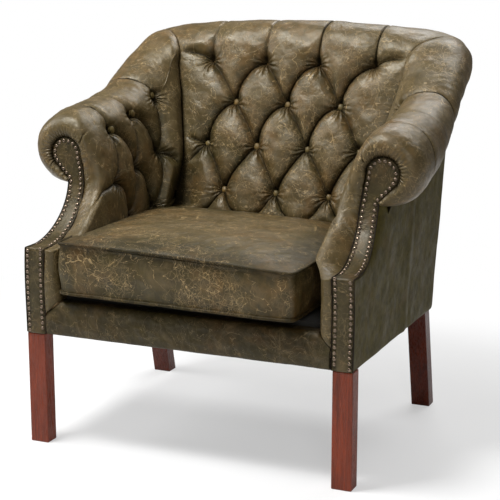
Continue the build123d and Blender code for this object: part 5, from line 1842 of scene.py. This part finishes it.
class CHAIR_OT_stage(bpy.types.Operator):
    """Set the floor, the soft studio light and the camera"""

    bl_idname = "chair.stage"
    bl_label = "Stage"

    def execute(self, context):
        scene = context.scene
        scene.view_settings.view_transform = "Standard"
        world = bpy.data.worlds.new("studio")
        scene.world = world
        world.use_nodes = True
        nodes = world.node_tree.nodes
        nodes.clear()
        out = nodes.new("ShaderNodeOutputWorld")
        soft = nodes.new("ShaderNodeBackground")
        soft.inputs["Color"].default_value = (1.0, 1.0, 1.0, 1.0)
        soft.inputs["Strength"].default_value = 0.15
        white = nodes.new("ShaderNodeBackground")
        white.inputs["Color"].default_value = (1.0, 1.0, 1.0, 1.0)
        white.inputs["Strength"].default_value = 1.0
        path = nodes.new("ShaderNodeLightPath")
        seen = nodes.new("ShaderNodeMath")
        seen.operation = "MAXIMUM"
        both = nodes.new("ShaderNodeMixShader")
        link = world.node_tree.links.new
        link(path.outputs["Is Camera Ray"], seen.inputs[0])
        link(path.outputs["Is Transmission Ray"], seen.inputs[1])
        link(seen.outputs[0], both.inputs[0])
        link(soft.outputs[0], both.inputs[1])
        link(white.outputs[0], both.inputs[2])
        link(both.outputs[0], out.inputs[0])

        size = 9.0
        corners = [(-size, -size, 0.0), (size, -size, 0.0), (size, size, 0.0), (-size, size, 0.0)]
        floor_tree = Tree("pale_floor")
        speckle = floor_tree.remap(floor_tree.noise(3.0, 2.0), 0.3, 0.7)
        pale = floor_tree.mix(speckle, (0.84, 0.84, 0.84), (0.87, 0.87, 0.87))
        floor_tree.set("Base Color", pale)
        floor_tree.shader.inputs["Roughness"].default_value = 0.7
        # Painted light: for camera rays the floor glows white, almost half near the chair and
        # wholly from 1.5 m out, which lightens the shadow under the chair.
        painted_glow = floor_tree.nodes.new("ShaderNodeEmission")
        painted_glow.inputs["Strength"].default_value = 1.0
        ray = floor_tree.nodes.new("ShaderNodeLightPath")
        blend = floor_tree.nodes.new("ShaderNodeMixShader")
        spread = floor_tree.nodes.new("ShaderNodeVectorMath")
        spread.operation = "LENGTH"
        floor_tree.put(spread.inputs[0], floor_tree.place)
        white = floor_tree.remap(spread.outputs["Value"], 0.45, 1.5, 0.45, 1.0)
        share = floor_tree.math("MULTIPLY", ray.outputs["Is Camera Ray"], white)
        floor_tree.put(blend.inputs[0], share)
        floor_tree.links.new(floor_tree.shader.outputs[0], blend.inputs[1])
        floor_tree.links.new(painted_glow.outputs[0], blend.inputs[2])
        floor_tree.links.new(blend.outputs[0], floor_tree.output.inputs[0])
        floor = new_object("floor", corners, [(0, 1, 2, 3)], floor_tree.material, False)

        area_lamp("key", (-0.8, -1.0, 2.9), (0.0, 0.05, 0.5), (0.9, 0.8), 96.0)
        area_lamp("window", (1.5, -2.7, 1.8), (0.0, 0.0, 0.5), (0.7, 1.3), 17.0)
        area_lamp("rear_top", (0.3, 1.6, 2.4), (0.0, 0.05, 0.6), (2.0, 1.0), 38.0)
        area_lamp("left_side", (-2.3, -0.5, 1.7), (0.0, 0.0, 0.5), (1.2, 1.2), 30.0)

        azimuth = math.radians(23.602)
        elevation = math.radians(12.4511)
        distance = 3.0132
        target = Vector((0.0221, 0.288 + FRONT, 0.3913))
        back = Vector((
            math.sin(azimuth) * math.cos(elevation),
            -math.cos(azimuth) * math.cos(elevation),
            math.sin(elevation),
        ))
        lens = bpy.data.cameras.new("camera")
        lens.sensor_width = 36.0
        lens.lens = 100.87
        camera = bpy.data.objects.new("camera", lens)
        camera.location = target + back * distance
        camera.rotation_euler = (-back).to_track_quat("-Z", "Y").to_euler()
        scene.collection.objects.link(camera)
        scene.camera = camera
        return {"FINISHED"}


class CHAIR_PT_panel(bpy.types.Panel):
    """The armchair's pieces and sizes"""

    bl_idname = "CHAIR_PT_panel"
    bl_label = "Armchair"
    bl_space_type = "VIEW_3D"
    bl_region_type = "UI"
    bl_category = "Armchair"

    def draw(self, context):
        for step in STEPS:
            self.layout.operator(step.bl_idname)
        for group in (context.scene.chair_sizes, context.scene.chair_colours):
            box = self.layout.box()
            for key in group.__annotations__:
                box.prop(group, key)


STEPS = (
    CHAIR_OT_finishes,
    CHAIR_OT_inside_arms,
    CHAIR_OT_inside_back,
    CHAIR_OT_buttons,
    CHAIR_OT_facings,
    CHAIR_OT_nails,
    CHAIR_OT_outside,
    CHAIR_OT_cushion,
    CHAIR_OT_legs,
    CHAIR_OT_stage,
)
GROUPS = (ChairSizes, ChairColours)


def register():
    for kind in GROUPS + STEPS + (CHAIR_PT_panel,):
        bpy.utils.register_class(kind)
    bpy.types.Scene.chair_sizes = PointerProperty(type=ChairSizes)
    bpy.types.Scene.chair_colours = PointerProperty(type=ChairColours)


def unregister():
    del bpy.types.Scene.chair_colours
    del bpy.types.Scene.chair_sizes
    for kind in (CHAIR_PT_panel,) + STEPS[::-1] + GROUPS[::-1]:
        bpy.utils.unregister_class(kind)


def main():
    register()
    for step in STEPS:
        group, name = step.bl_idname.split(".")
        getattr(getattr(bpy.ops, group), name)()


if __name__ == "__main__":
    main()
